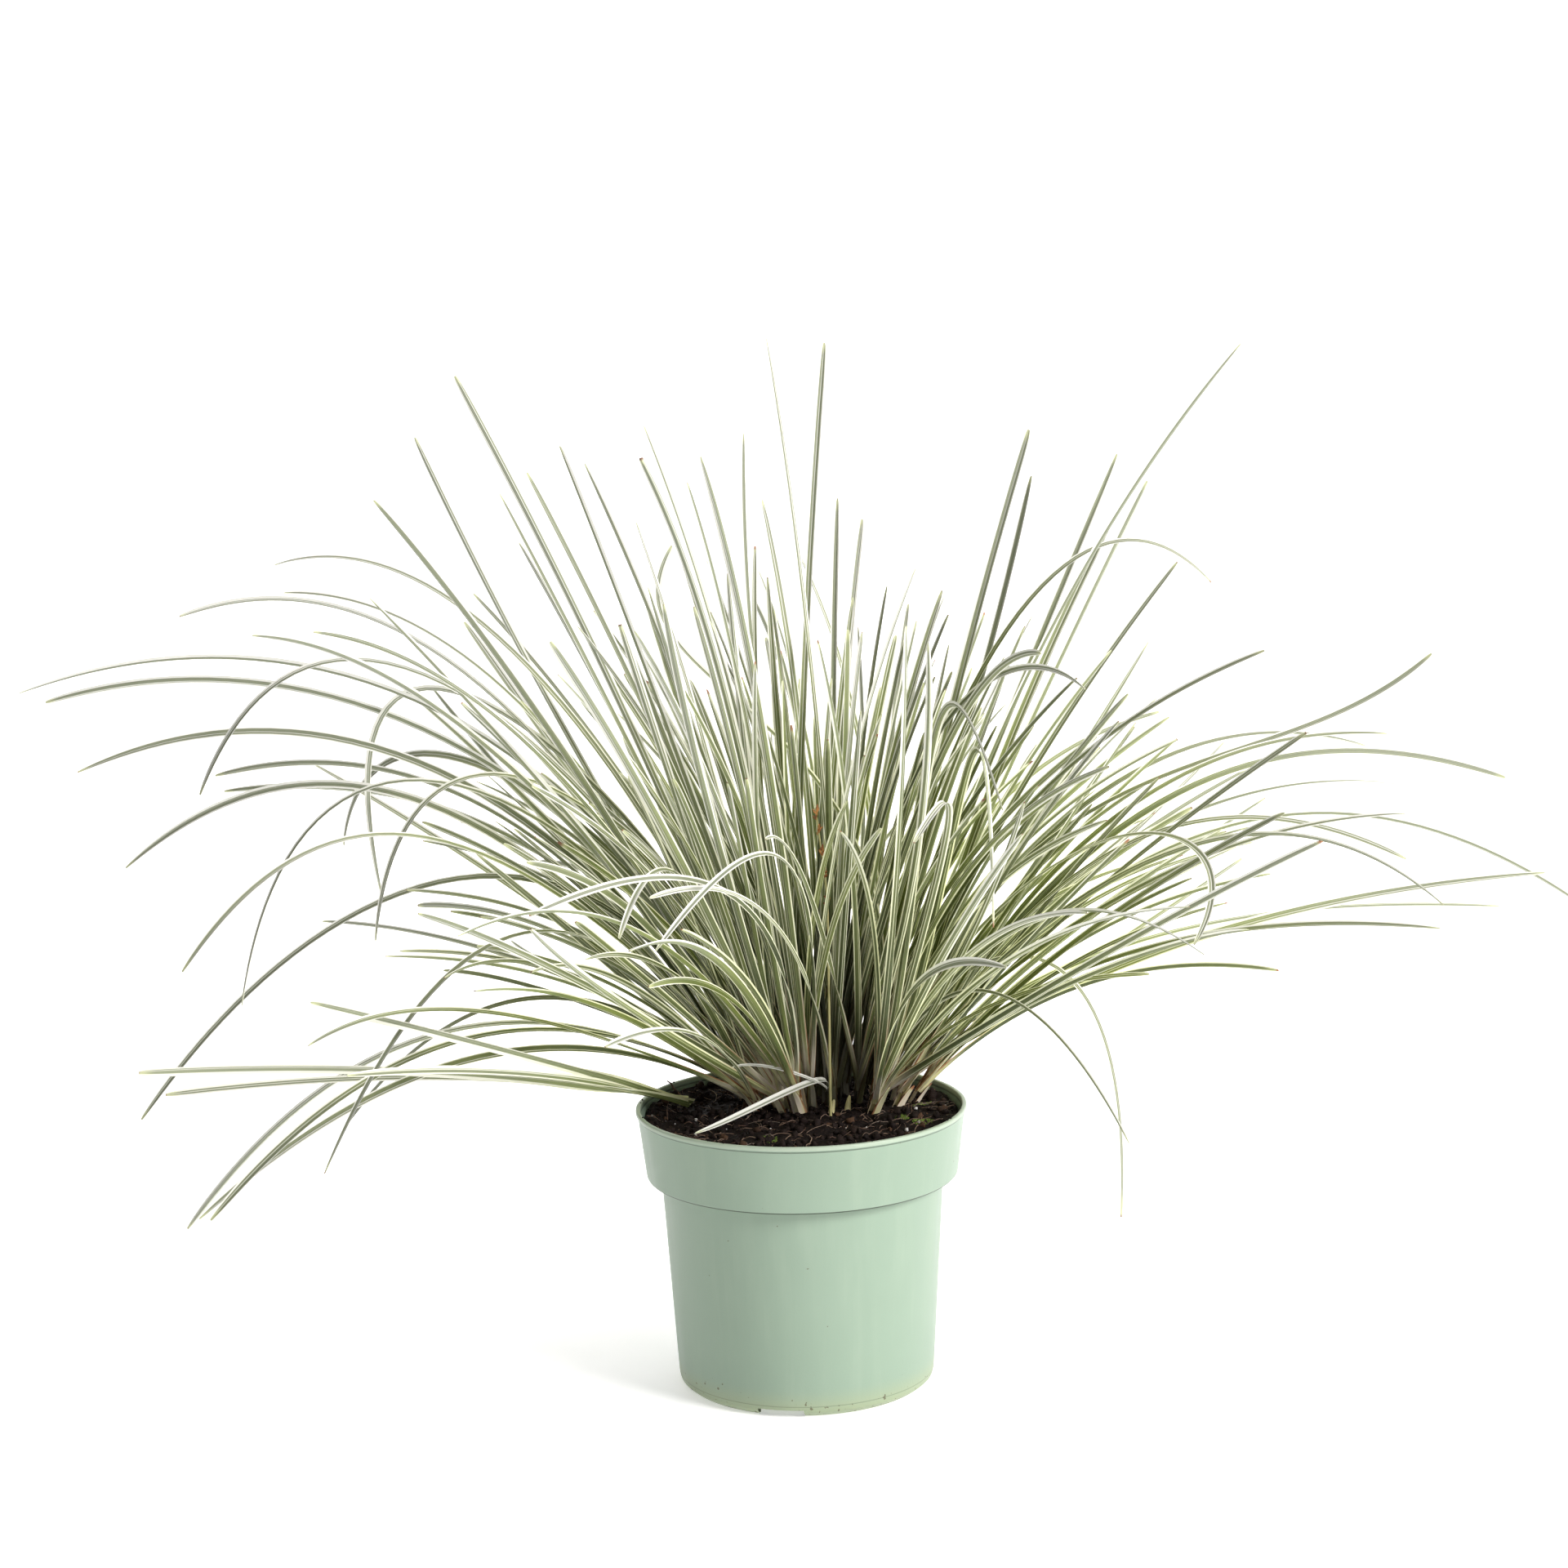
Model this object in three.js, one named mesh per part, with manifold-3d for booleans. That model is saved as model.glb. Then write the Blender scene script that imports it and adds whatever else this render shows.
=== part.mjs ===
// Potted variegated lomandra in a pale-green nursery pot.
// Millimetres, +Z up. The origin is the middle of the pot's underside and -Y is the front.
import * as THREE from 'three';
import { mergeVertices } from 'three/addons/utils/BufferGeometryUtils.js';
import Module from 'manifold-3d';

const wasm = await Module();
wasm.setup();

// Driving dimensions

const GAP = 0.3;
const UP = new THREE.Vector3(0, 0, 1);

const POT = {
  height: 145,
  sides: 36,
  wall: 1.4,
  footRadius: 62,
  heelRadius: 66.1,
  heelHeight: 5.6,
  heelRounding: 0.6,
  waistRadius: 72.6,
  waistHeight: 108.8,
  collarRadius: 80.1,
  collarHeight: 110.2,
  collarRounding: 0.8,
  lipRadius: 84,
  beadRadius: 85,
  beadHeight: 2.2,
  beadSlope: 0.6,
  padRadius: 34,
  padSlope: 1,
  floorRise: 4,
  floorThickness: 1.5,
  skirtWidth: 2.8,
  innerStep: 1,
};

const DRAIN = { count: 8, radius: 4.5, sides: 8, circle: 47 };
const NOTCH = { count: 3, width: 23.5, height: 3.9, firstAngle: THREE.MathUtils.degToRad(-102.2) };

const SOIL = {
  top: 137,
  rimDrop: 1,
  relief: 0.78,
  reliefRadius: 72,
  swells: [9, 11, 7],
  crossSwell: 0.6,
  rings: 4,
  lining: 0.42,
};

const CROWN = {
  x: 14,
  y: 34,
  radiusX: 45,
  radiusY: 28.5,
  fans: 36,
  jitter: 0.7,
  turnJitter: 0.6,
  lean: THREE.MathUtils.degToRad(47),
  leanPower: 1.6,
};

// A small fan that stands apart at the left and lies low over the rim
const SIDE_FAN = {
  x: -53,
  y: 22,
  azimuth: THREE.MathUtils.degToRad(-172),
  lean: THREE.MathUtils.degToRad(62),
  reach: 1.2,
};

const SHEATH = {
  depth: 13,
  length: 17,
  width: 8.6,
  thickness: 4.6,
  topScale: 0.85,
  sides: 6,
  rootRise: 2,
  holeRoom: 0.78,
};

const LEAF = {
  length: 385,
  lengthRange: [0.85, 1.08],
  width: 4.3,
  widthRange: [0.84, 1.14],
  thickness: 0.9,
  faceShare: 0.8,
  footShare: 0.36,
  footRise: 0.35,
  footLength: 0.2,
  footOut: 1.2,
  footAlong: 1.7,
  footAcross: 1.1,
  tipPower: 4,
  lastRing: 0.94,
  leastRings: 3,
  bends: [0.35, 1, 1.7],
  straight: 0.02,
  twist: 1.1,
  twirl: 0.9,
  twistFrom: 0.35,
  gap: 0.35,
  fused: 32,
  tries: 300,
  count: 316,
  fillingTries: 9000,
};

// How far a leaf's tip lies before or behind the crown, and how its fan is chosen
const DEPTH = { leastUnseen: 0.12, range: [0.35, 1], footShare: 0.2, weight: 0.6, crowding: 4, choices: 4 };

// How the leaves that fill the clump set out and arch over
const FILLING = {
  length: [0.5, 1.06],
  leastSpread: 0.25,
  innerSpread: 1.4,
  turn: 0.5,
  leanRange: [0.5, 1],
  leanShift: [-0.05, 0.14],
  arch: [0.05, 0.95],
};

// How high a leaf's middle line passes over the soil and over the pot's rim
const CLEARANCE = { normal: 2.6, bentOverRim: 1.2, soilRise: 1, soilRadius: 76, rimRadius: 90 };

// The outline, as seen from the front, that the leaves which fill the clump end in
const CLUMP = { halfWidth: 250, height: 300, lowestTip: 205 };

// A dried flower spike: its stem, and the husks that sit on its upper end
const SPIKE = {
  stem: [[15, 1, 126], [15.5, 1, 200], [15.8, 0, 256], [12.2, -1, 284], [10.5, -2, 299]],
  radius: 0.8,
  sides: 3,
  holeRoom: 0.66,
  huskRoom: 2.6,
  huskStretch: 1.5,
  husks: [[0.72, 2.2], [0.8, 2], [0.86, 2.6], [0.93, 2], [0.98, 2.4]],
};

// New shoots that come up in front of the crown: foot, lean of the point, height over the soil
const SHOOTS = {
  young_shoot_left: { x: 15.5, y: 11.5, pointX: 1.8, pointY: 1, height: 6.5 },
  young_shoot_right: { x: 24, y: 14.5, pointX: 1.4, pointY: 0.6, height: 8 },
};
const SHOOT = { radius: 1.7, depth: 7, sides: 6, holeRoom: 0.36, room: 8.5, collarShare: 0.45 };

// Where the plant was looked at from: what a leaf hides and how long it looks follow from it
const VIEWPOINT = new THREE.Vector3(-5, -1616, 566.5);

// Leaves by area. A row is one leaf as seen from the front against the plane of the pot's axis:
// where it leaves the crown, then x and z of the points it passes at even steps, its tip last.
// side says whether its tip lies before or behind the crown; depth, where given, is the tip's own y.
const LEAF_AREAS = {
  overRim: {
    side: 'front',
    depth: -60,
    rows: [
      [10, 5, 156, -24, 143.5, -55, 130.5],
    ],
  },
  lowestLeft: {
    side: 'front',
    length: 315,
    lowBunch: true,
    rows: [
      [-54, -190, 166, -340, 169],
      [-54, -180, 163, -327, 157],
      [-54, -150, 176, -250, 204],
      [-54, -140, 164, -233, 165],
    ],
  },
  lowRight: {
    side: 'front',
    length: 330,
    rows: [
      [44, 86, 212, 142, 204, 164, 79],
      [40, 78, 200, 124, 186, 169, 119],
    ],
  },
  frontHooks: {
    side: 'front',
    rows: [
      [15, -30, 252, -137, 246],
      [14, -4, 270, -73, 226],
      [18, 6, 256, -15, 283],
      [-14, -56, 262, -91, 233],
      [16, -12, 240, -75, 254],
      [-18, -52, 182, -100, 177],
    ],
  },
  rightHooks: {
    side: 'front',
    rows: [
      [48, 60, 262, 76, 346, 106, 294],
      [46, 72, 250, 92, 326, 100, 233],
      [44, 62, 226, 78, 292, 60, 279],
      [34, 60, 205, 107, 214],
      [35, 116, 236, 208, 218],
    ],
  },
  lowLeft: {
    side: 'either',
    rows: [
      [-38, -138, 222, -242, 246],
      [-36, -112, 258, -224, 250, -340, 143],
      [-33, -135, 238, -247, 112],
      [-40, -185, 186, -319, 85],
      [-38, -165, 184, -307, 89],
      [-36, -160, 174, -313, 90],
      [-42, -140, 203, -237, 135],
      [-44, -155, 196, -252, 181],
      [-40, -113, 214, -181, 215],
      [-44, -115, 202, -181, 219],
      [-34, -112, 232, -193, 253],
      [-38, -116, 214, -193, 249],
      [-36, -95, 202, -146, 234],
      [-38, -88, 198, -136, 240],
      [-32, -72, 206, -113, 243],
      [-36, -85, 208, -137, 217],
    ],
  },
  highLeft: {
    side: 'either',
    rows: [
      [-30, -112, 302, -240, 376, -390, 366],
      [-26, -110, 290, -235, 362, -377, 361],
      [-30, -100, 262, -215, 336, -363, 325],
      [-22, -96, 296, -206, 378, -301, 311],
      [-18, -90, 300, -186, 364, -210, 255],
      [-20, -160, 368, -307, 403],
      [-16, -134, 352, -254, 414],
      [-12, -136, 378, -258, 428],
      [-24, -148, 328, -271, 393],
      [-20, -122, 322, -240, 394],
      [-30, -152, 300, -293, 322],
      [-33, -142, 286, -289, 314],
      [-26, -118, 262, -226, 316, -341, 275],
      [-35, -132, 252, -244, 328],
      [-36, -112, 250, -214, 290, -315, 220],
      [-28, -100, 272, -208, 316, -285, 201],
      [-20, -84, 282, -166, 318, -215, 234],
      [-24, -86, 270, -176, 330, -229, 284],
      [-28, -110, 292, -211, 411],
    ],
  },
  right: {
    side: 'either',
    rows: [
      [42, 132, 282, 232, 326, 323, 371],
      [46, 165, 292, 301, 330],
      [40, 160, 306, 290, 324],
      [44, 148, 272, 250, 320, 361, 306],
      [50, 175, 280, 309, 304],
      [48, 170, 252, 310, 289],
      [46, 160, 258, 275, 290, 403, 238],
      [44, 168, 276, 311, 265],
      [48, 192, 272, 330, 241],
      [54, 200, 226, 382, 257],
      [56, 180, 228, 359, 240],
      [52, 170, 220, 329, 229],
      [56, 140, 225, 249, 291],
      [50, 145, 246, 260, 332],
      [46, 135, 252, 230, 314],
      [44, 130, 245, 218, 328],
      [54, 140, 231, 239, 299],
      [58, 140, 211, 227, 268],
      [56, 158, 220, 268, 276],
      [40, 124, 262, 196, 278, 202, 223],
      [58, 142, 206, 230, 231],
    ],
  },
  upperRight: {
    side: 'either',
    rows: [
      [35, 118, 362, 227, 528],
      [40, 74, 322, 121, 488],
      [44, 80, 312, 122, 465],
      [40, 100, 322, 165, 475],
      [46, 98, 302, 162, 442],
      [42, 108, 314, 180, 461],
      [38, 74, 322, 140, 420, 212, 408],
      [40, 110, 298, 195, 420],
      [44, 110, 270, 180, 380],
      [30, 112, 290, 239, 374],
      [30, 74, 322, 126, 375],
      [28, 60, 310, 108, 366, 148, 356],
      [48, 84, 272, 134, 382],
      [50, 100, 252, 165, 340],
      [52, 110, 250, 173, 337],
    ],
  },
  upperLeft: {
    side: 'either',
    rows: [
      [-15, -82, 344, -164, 521],
      [-28, -105, 322, -185, 491],
      [-24, -112, 324, -207, 460],
      [-10, -76, 300, -159, 412],
      [-12, -74, 314, -144, 462],
      [-4, -64, 326, -130, 472],
      [-10, -70, 306, -135, 437],
      [-6, -58, 326, -113, 485],
      [-2, -44, 322, -101, 476],
      [-18, -90, 286, -164, 398],
      [-8, -62, 280, -121, 387],
      [-30, -112, 280, -205, 373],
      [-26, -104, 268, -182, 366],
      [-22, -94, 270, -167, 357],
    ],
  },
  top: {
    side: 'either',
    rows: [
      [20, 10, 368, -9, 536],
      [-2, 6, 360, 20, 533],
      [-4, -15, 338, -43, 478],
      [-10, -16, 338, -21, 489],
      [15, 5, 320, -13, 456],
      [16, 20, 302, 25, 456],
      [10, 24, 318, 37, 445],
      [0, -28, 348, -71, 494],
      [-6, -30, 342, -73, 478],
      [8, -22, 338, -50, 465],
      [45, 36, 312, 5, 428],
      [40, 20, 300, -46, 372, -58, 434],
      [46, 52, 270, 58, 391],
      [50, 60, 266, 69, 382],
      [12, 4, 270, -8, 400],
      [30, 34, 270, 34, 391],
      [5, 34, 300, 53, 386],
      [-14, -40, 292, -72, 405],
      [-6, -40, 312, -76, 446],
    ],
  },
};

// Random draws, the same on every run

let drawState = 7;

function draw(low = 0, high = 1) {
  drawState = (Math.imul(drawState, 1664525) + 1013904223) >>> 0;
  return low + (high - low) * (drawState / 4294967296);
}

// Solids

/** A closed geometry as a manifold solid, with shared vertices merged. */
function toSolid(geometry) {
  const bare = geometry.clone();
  bare.deleteAttribute('normal');
  bare.deleteAttribute('uv');
  const merged = mergeVertices(bare, 1e-4);
  const corners = merged.index.array;
  const kept = [];
  for (let i = 0; i < corners.length; i += 3) {
    const [a, b, c] = [corners[i], corners[i + 1], corners[i + 2]];
    if (a !== b && b !== c && c !== a) {
      kept.push(a, b, c);
    }
  }
  return new wasm.Manifold(new wasm.Mesh({
    numProp: 3,
    vertProperties: new Float32Array(merged.attributes.position.array),
    triVerts: new Uint32Array(kept),
  }));
}

/** The largest piece of a solid: the skins of sealed hollows fall away. */
function wholePiece(solid) {
  return solid.decompose().reduce((best, piece) => (piece.volume() > best.volume() ? piece : best));
}

function toGeometry(solid) {
  const mesh = solid.getMesh();
  const geometry = new THREE.BufferGeometry();
  const positions = new Float32Array(mesh.vertProperties);
  geometry.setAttribute('position', new THREE.BufferAttribute(positions, 3));
  geometry.setIndex(new THREE.BufferAttribute(new Uint32Array(mesh.triVerts), 1));
  geometry.computeVertexNormals();
  return geometry;
}

/** A body turned about +Z from an outline of [radius, height] points. */
function turned(outline, sides) {
  const points = outline.map(([radius, height]) => new THREE.Vector2(radius, height));
  return new THREE.LatheGeometry(points, sides).rotateX(Math.PI / 2);
}

/**
 * A closed skin over rings of equal size, each a list of points, with flat ends or a tip point.
 * From side `firstFlank` on, the sides are split along their other diagonal.
 */
function ringSkin(rings, tip = null, firstFlank = Infinity) {
  const size = rings[0].length;
  const points = rings.flat();
  const corners = [];
  for (let k = 0; k + 1 < rings.length; k += 1) {
    for (let i = 0; i < size; i += 1) {
      const a = k * size + i;
      const b = k * size + ((i + 1) % size);
      if (i < firstFlank) {
        corners.push(a, b, b + size, a, b + size, a + size);
      } else {
        corners.push(a, b, a + size, b, b + size, a + size);
      }
    }
  }
  for (let i = 1; i + 1 < size; i += 1) {
    corners.push(0, i + 1, i);
  }
  const end = (rings.length - 1) * size;
  if (tip) {
    points.push(tip);
    for (let i = 0; i < size; i += 1) {
      corners.push(end + i, end + ((i + 1) % size), points.length - 1);
    }
  } else {
    for (let i = 1; i + 1 < size; i += 1) {
      corners.push(end, end + i, end + i + 1);
    }
  }
  const geometry = new THREE.BufferGeometry().setFromPoints(points);
  geometry.setIndex(corners);
  return geometry;
}

// Pot

/** The pot's outline as [radius, height] points, from the middle of its foot round to its inner floor. */
function potOutline() {
  const { wall, floorRise, floorThickness, padRadius, padSlope, footRadius, skirtWidth } = POT;
  const floorTop = floorRise + floorThickness;
  const beadFoot = POT.height - POT.beadHeight - POT.beadSlope;
  const underside = [
    [0, 0],
    [padRadius, 0],
    [padRadius + padSlope, floorRise],
    [footRadius - skirtWidth - padSlope / 2, floorRise],
    [footRadius - skirtWidth, 0],
  ];
  const outside = [
    [footRadius, 0],
    [POT.heelRadius - POT.heelRounding, POT.heelHeight / 2],
    [POT.heelRadius, POT.heelHeight],
    [POT.waistRadius, POT.waistHeight],
    [POT.collarRadius - POT.collarRounding, POT.collarHeight - POT.collarRounding],
    [POT.collarRadius, POT.collarHeight],
    [POT.lipRadius, beadFoot],
    [POT.beadRadius, POT.height - POT.beadHeight],
    [POT.beadRadius, POT.height],
  ];
  const inside = [
    [POT.lipRadius - wall, POT.height],
    [POT.lipRadius - wall, beadFoot],
    [POT.collarRadius - wall, POT.collarHeight + POT.innerStep],
    [POT.collarRadius - POT.collarRounding - wall, POT.collarHeight - POT.collarRounding + wall],
    [POT.waistRadius - wall, POT.waistHeight + wall],
    [POT.heelRadius - wall, POT.heelHeight + POT.innerStep],
    [footRadius - wall, floorTop],
    [padRadius - wall / 2, floorTop],
    [padRadius - wall / 2 - padSlope, floorThickness],
    [0, floorThickness],
  ];
  return { underside, outside, inside };
}

function makePot() {
  const { underside, outside, inside } = potOutline();
  let pot = toSolid(turned([...underside, ...outside, ...inside], POT.sides));
  const cutDepth = 2 * (POT.floorRise + POT.floorThickness);
  for (let i = 0; i < DRAIN.count; i += 1) {
    const angle = (2 * Math.PI * (i + 0.5)) / DRAIN.count;
    const hole = new THREE.CylinderGeometry(DRAIN.radius, DRAIN.radius, cutDepth, DRAIN.sides);
    hole.rotateX(Math.PI / 2);
    hole.translate(DRAIN.circle * Math.cos(angle), DRAIN.circle * Math.sin(angle), POT.floorRise);
    pot = pot.subtract(toSolid(hole));
  }
  for (let i = 0; i < NOTCH.count; i += 1) {
    const notch = new THREE.BoxGeometry(4 * POT.skirtWidth, NOTCH.width, 2 * NOTCH.height);
    notch.translate(POT.footRadius, 0, 0);
    notch.rotateZ(NOTCH.firstAngle + (2 * Math.PI * i) / NOTCH.count);
    pot = pot.subtract(toSolid(notch));
  }
  return toGeometry(wholePiece(pot));
}

// Crown: the fans that the leaves rise from

/** The direction that leans from upright towards an azimuth. */
function heading(lean, azimuth) {
  const level = Math.sin(lean);
  return new THREE.Vector3(level * Math.cos(azimuth), level * Math.sin(azimuth), Math.cos(lean));
}

/** Fans set out evenly over the crown, leaning out more towards its edge, with room for the shoots. */
function crownFans() {
  const fans = [];
  const goldenAngle = Math.PI * (3 - Math.sqrt(5));
  for (let i = 0; i < CROWN.fans; i += 1) {
    const reach = Math.sqrt((i + 0.5) / CROWN.fans);
    const angle = i * goldenAngle;
    const outX = reach * Math.cos(angle);
    const outY = reach * Math.sin(angle);
    const x = CROWN.x + CROWN.radiusX * outX + draw(-CROWN.jitter, CROWN.jitter);
    const y = CROWN.y + CROWN.radiusY * outY + draw(-CROWN.jitter, CROWN.jitter);
    const lean = CROWN.lean * reach ** CROWN.leanPower;
    const crowded = Object.values(SHOOTS).some(
      (shoot) => Math.hypot(x - shoot.x, y - shoot.y) < SHOOT.room,
    );
    if (!crowded) {
      fans.push(makeFan({ x, y, azimuth: Math.atan2(outY, outX), lean, reach }));
    }
  }
  fans.push(makeFan(SIDE_FAN));
  return fans;
}

function makeFan({ x, y, azimuth, lean, reach }) {
  const root = new THREE.Vector3(x, y, SOIL.top + SHEATH.rootRise);
  const axis = heading(lean, azimuth);
  const turn = azimuth + Math.PI / 2 + draw(-CROWN.turnJitter, CROWN.turnJitter);
  const line = new THREE.Vector3(Math.cos(turn), Math.sin(turn), 0);
  const across = new THREE.Vector3().crossVectors(axis, line).normalize();
  return { root, axis, line, across, azimuth, lean, reach, leaves: [] };
}

/** One six-sided section of a fan's sheath. */
function sheathRing(centre, along, across, scale) {
  const ring = [];
  for (let i = 0; i < SHEATH.sides; i += 1) {
    const angle = (2 * Math.PI * i) / SHEATH.sides;
    ring.push(centre.clone()
      .addScaledVector(along, (scale * SHEATH.width * Math.cos(angle)) / 2)
      .addScaledVector(across, (scale * SHEATH.thickness * Math.sin(angle)) / 2));
  }
  return ring;
}

function sheathSkin(fan) {
  const levelAcross = new THREE.Vector3().crossVectors(UP, fan.line);
  const bottom = fan.root.clone().addScaledVector(UP, -SHEATH.depth);
  const top = fan.root.clone().addScaledVector(fan.axis, SHEATH.length);
  return ringSkin([
    sheathRing(bottom, fan.line, levelAcross, 1),
    sheathRing(fan.root, fan.line, levelAcross, 1),
    sheathRing(top, fan.line, fan.across, SHEATH.topScale),
  ]);
}

/** The straight hole that a fan's sheath stands in. */
function sheathHole(fan) {
  const across = new THREE.Vector3().crossVectors(UP, fan.line);
  const scale = 1 + SHEATH.holeRoom / SHEATH.thickness;
  const rings = [-SHEATH.depth - GAP, SHEATH.depth].map((height) => (
    sheathRing(fan.root.clone().addScaledVector(UP, height), fan.line, across, scale)
  ));
  return ringSkin(rings);
}

// Soil

/** Low swells in the soil's surface. */
function soilRelief(x, y) {
  const [swellX, swellY, swellAcross] = SOIL.swells;
  const swell = Math.sin(x / swellX + 1) * Math.cos(y / swellY);
  return SOIL.relief * (swell + SOIL.crossSwell * Math.sin((x + 2 * y) / swellAcross));
}

/** The soil's outline: the pot's lining without its rim, a gap inside it, and rings over the top. */
function soilOutline() {
  const lining = potOutline().inside.slice(2).reverse().map(([radius, height]) => [
    Math.max(0, radius - SOIL.lining),
    height + GAP,
  ]);
  const rise = (SOIL.top - POT.collarHeight) / (POT.height - POT.collarHeight);
  const rim = POT.collarRadius - POT.wall + rise * (POT.lipRadius - POT.collarRadius) - 2 * GAP;
  const top = [];
  for (let i = 0; i < SOIL.rings; i += 1) {
    top.push([SOIL.reliefRadius * (1 - i / SOIL.rings), SOIL.top]);
  }
  return [...lining, [rim, SOIL.top - SOIL.rimDrop], ...top, [0, SOIL.top]];
}

function makeSoil(holes) {
  const geometry = turned(soilOutline(), POT.sides);
  const position = geometry.attributes.position;
  for (let i = 0; i < position.count; i += 1) {
    if (position.getZ(i) > SOIL.top - 0.1) {
      position.setZ(i, SOIL.top + soilRelief(position.getX(i), position.getY(i)));
    }
  }
  let soil = toSolid(geometry);
  for (const hole of holes) {
    soil = soil.subtract(toSolid(hole));
  }
  return toGeometry(wholePiece(soil));
}

// Leaves

/** Where a point seen against the plane of the pot's axis lies, once it is moved to depth y. */
function seenAt(x, z, y) {
  const seen = new THREE.Vector3(x, 0, z);
  const stretch = (y - VIEWPOINT.y) / -VIEWPOINT.y;
  return seen.sub(VIEWPOINT).multiplyScalar(stretch).add(VIEWPOINT);
}

/** Where a point is seen against the plane of the pot's axis. */
function seenFrom(point) {
  const stretch = -VIEWPOINT.y / (point.y - VIEWPOINT.y);
  return point.clone().sub(VIEWPOINT).multiplyScalar(stretch).add(VIEWPOINT);
}

/** The point at share t of the smooth route through evenly spaced points. */
function routePoint(points, t) {
  const last = points.length - 1;
  const sum = new THREE.Vector3();
  for (let i = 0; i <= last; i += 1) {
    let weight = 1;
    for (let j = 0; j <= last; j += 1) {
      if (j !== i) {
        weight *= (t * last - j) / (i - j);
      }
    }
    sum.addScaledVector(points[i], weight);
  }
  return sum;
}

function routeDirection(points, t) {
  const step = 0.01;
  const ahead = routePoint(points, Math.min(1, t + step));
  return ahead.sub(routePoint(points, Math.max(0, t - step))).normalize();
}

/** How far a route turns in all, in radians. */
function routeBend(points) {
  const steps = 8;
  let bend = 0;
  for (let i = 0; i < steps; i += 1) {
    bend += routeDirection(points, i / steps).angleTo(routeDirection(points, (i + 1) / steps));
  }
  return bend;
}

/** Sections along a leaf: centre, side vector and face vector, each scaled to its half size. */
function leafSections(leaf) {
  const bend = routeBend(leaf.points);
  const count = LEAF.leastRings + LEAF.bends.filter((limit) => bend > limit).length;
  const sections = [];
  let side = null;
  for (let k = 0; k <= count; k += 1) {
    const t = k === count ? 1 : (LEAF.lastRing * k) / (count - 1);
    const centre = routePoint(leaf.points, t);
    const along = routeDirection(leaf.points, t);
    if (side === null) {
      side = firstSide(leaf.points, along);
    }
    side.addScaledVector(along, -side.dot(along)).normalize();
    const face = new THREE.Vector3().crossVectors(along, side);
    const twist = leaf.twist * Math.min(1, t / LEAF.twistFrom) + leaf.twirl * t;
    const turnedSide = side.clone().multiplyScalar(Math.cos(twist)).addScaledVector(face, Math.sin(twist));
    const turnedFace = new THREE.Vector3().crossVectors(along, turnedSide);
    const halfWidth = leafHalfWidth(leaf, t);
    const halfThickness = k === count ? 0 : LEAF.thickness / 2;
    sections.push({
      centre,
      side: turnedSide.multiplyScalar(halfWidth),
      face: turnedFace.multiplyScalar(halfThickness),
    });
  }
  return sections;
}

/** A leaf lies flat across the plane that it bends in. */
function firstSide(points, along) {
  const middle = routePoint(points, 0.5).sub(points[0]);
  const whole = points[points.length - 1].clone().sub(points[0]);
  const side = new THREE.Vector3().crossVectors(middle, whole);
  const straight = side.length() < LEAF.straight * whole.lengthSq();
  if (straight) {
    side.crossVectors(along, UP);
  }
  return side.normalize();
}

/** A leaf is narrow at its foot, of one width along its middle, and narrows to its tip. */
function leafHalfWidth(leaf, t) {
  const rise = LEAF.footShare + (1 - LEAF.footShare) * Math.min(1, t / LEAF.footLength);
  return (leaf.width / 2) * rise * Math.sqrt(Math.max(0, 1 - t ** LEAF.tipPower));
}

/**
 * A leaf's skin: three-sided sections, two margins and a keel. The two sides under the keel are split the
 * way the upper side is, so a twisted blade's faces don't cross.
 */
function leafSkin(sections) {
  const tip = sections[sections.length - 1].centre;
  const rings = sections.slice(0, -1).map(({ centre, side, face }) => [
    centre.clone().add(side).addScaledVector(face, LEAF.faceShare),
    centre.clone().sub(side).addScaledVector(face, LEAF.faceShare),
    centre.clone().sub(face),
  ]);
  return ringSkin(rings, tip, 1);
}

// Flower spike and young shoots

/** A level ring of points round a centre. */
function levelRing(centre, radius, sides) {
  const ring = [];
  for (let i = 0; i < sides; i += 1) {
    const angle = (2 * Math.PI * (i + 0.5)) / sides;
    const corner = new THREE.Vector3(radius * Math.cos(angle), radius * Math.sin(angle), 0);
    ring.push(corner.add(centre));
  }
  return ring;
}

function spikePoints() {
  return SPIKE.stem.map(([x, y, z]) => new THREE.Vector3(x, y, z));
}

/** The point at a share of the spike's height, on its straight stretches. */
function spikePoint(share) {
  const points = spikePoints();
  const height = THREE.MathUtils.lerp(points[0].z, points[points.length - 1].z, share);
  const k = Math.max(1, points.findIndex((point) => point.z >= height));
  const [below, above] = [points[k - 1], points[k]];
  return below.clone().lerp(above, (height - below.z) / (above.z - below.z));
}

function makeSpike() {
  const rings = spikePoints().map((point) => levelRing(point, SPIKE.radius, SPIKE.sides));
  const husks = SPIKE.husks.map(([share, radius]) => {
    const husk = new THREE.OctahedronGeometry(radius, 0).scale(1, 1, SPIKE.huskStretch);
    return toSolid(husk.translate(...spikePoint(share).toArray()));
  });
  return toGeometry(wholePiece(wasm.Manifold.union([toSolid(ringSkin(rings)), ...husks])));
}

/** A straight hole in the soil round an upright that stands at (x, y) and reaches down to depth z. */
function uprightHole(x, y, z, radius, sides) {
  const foot = new THREE.Vector3(x, y, z - GAP);
  const top = foot.clone().setZ(SOIL.top + SHOOT.depth);
  return ringSkin([foot, top].map((centre) => levelRing(centre, radius, sides)));
}

function spikeHole() {
  return uprightHole(...SPIKE.stem[0], SPIKE.radius + SPIKE.holeRoom, SPIKE.sides);
}

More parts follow.
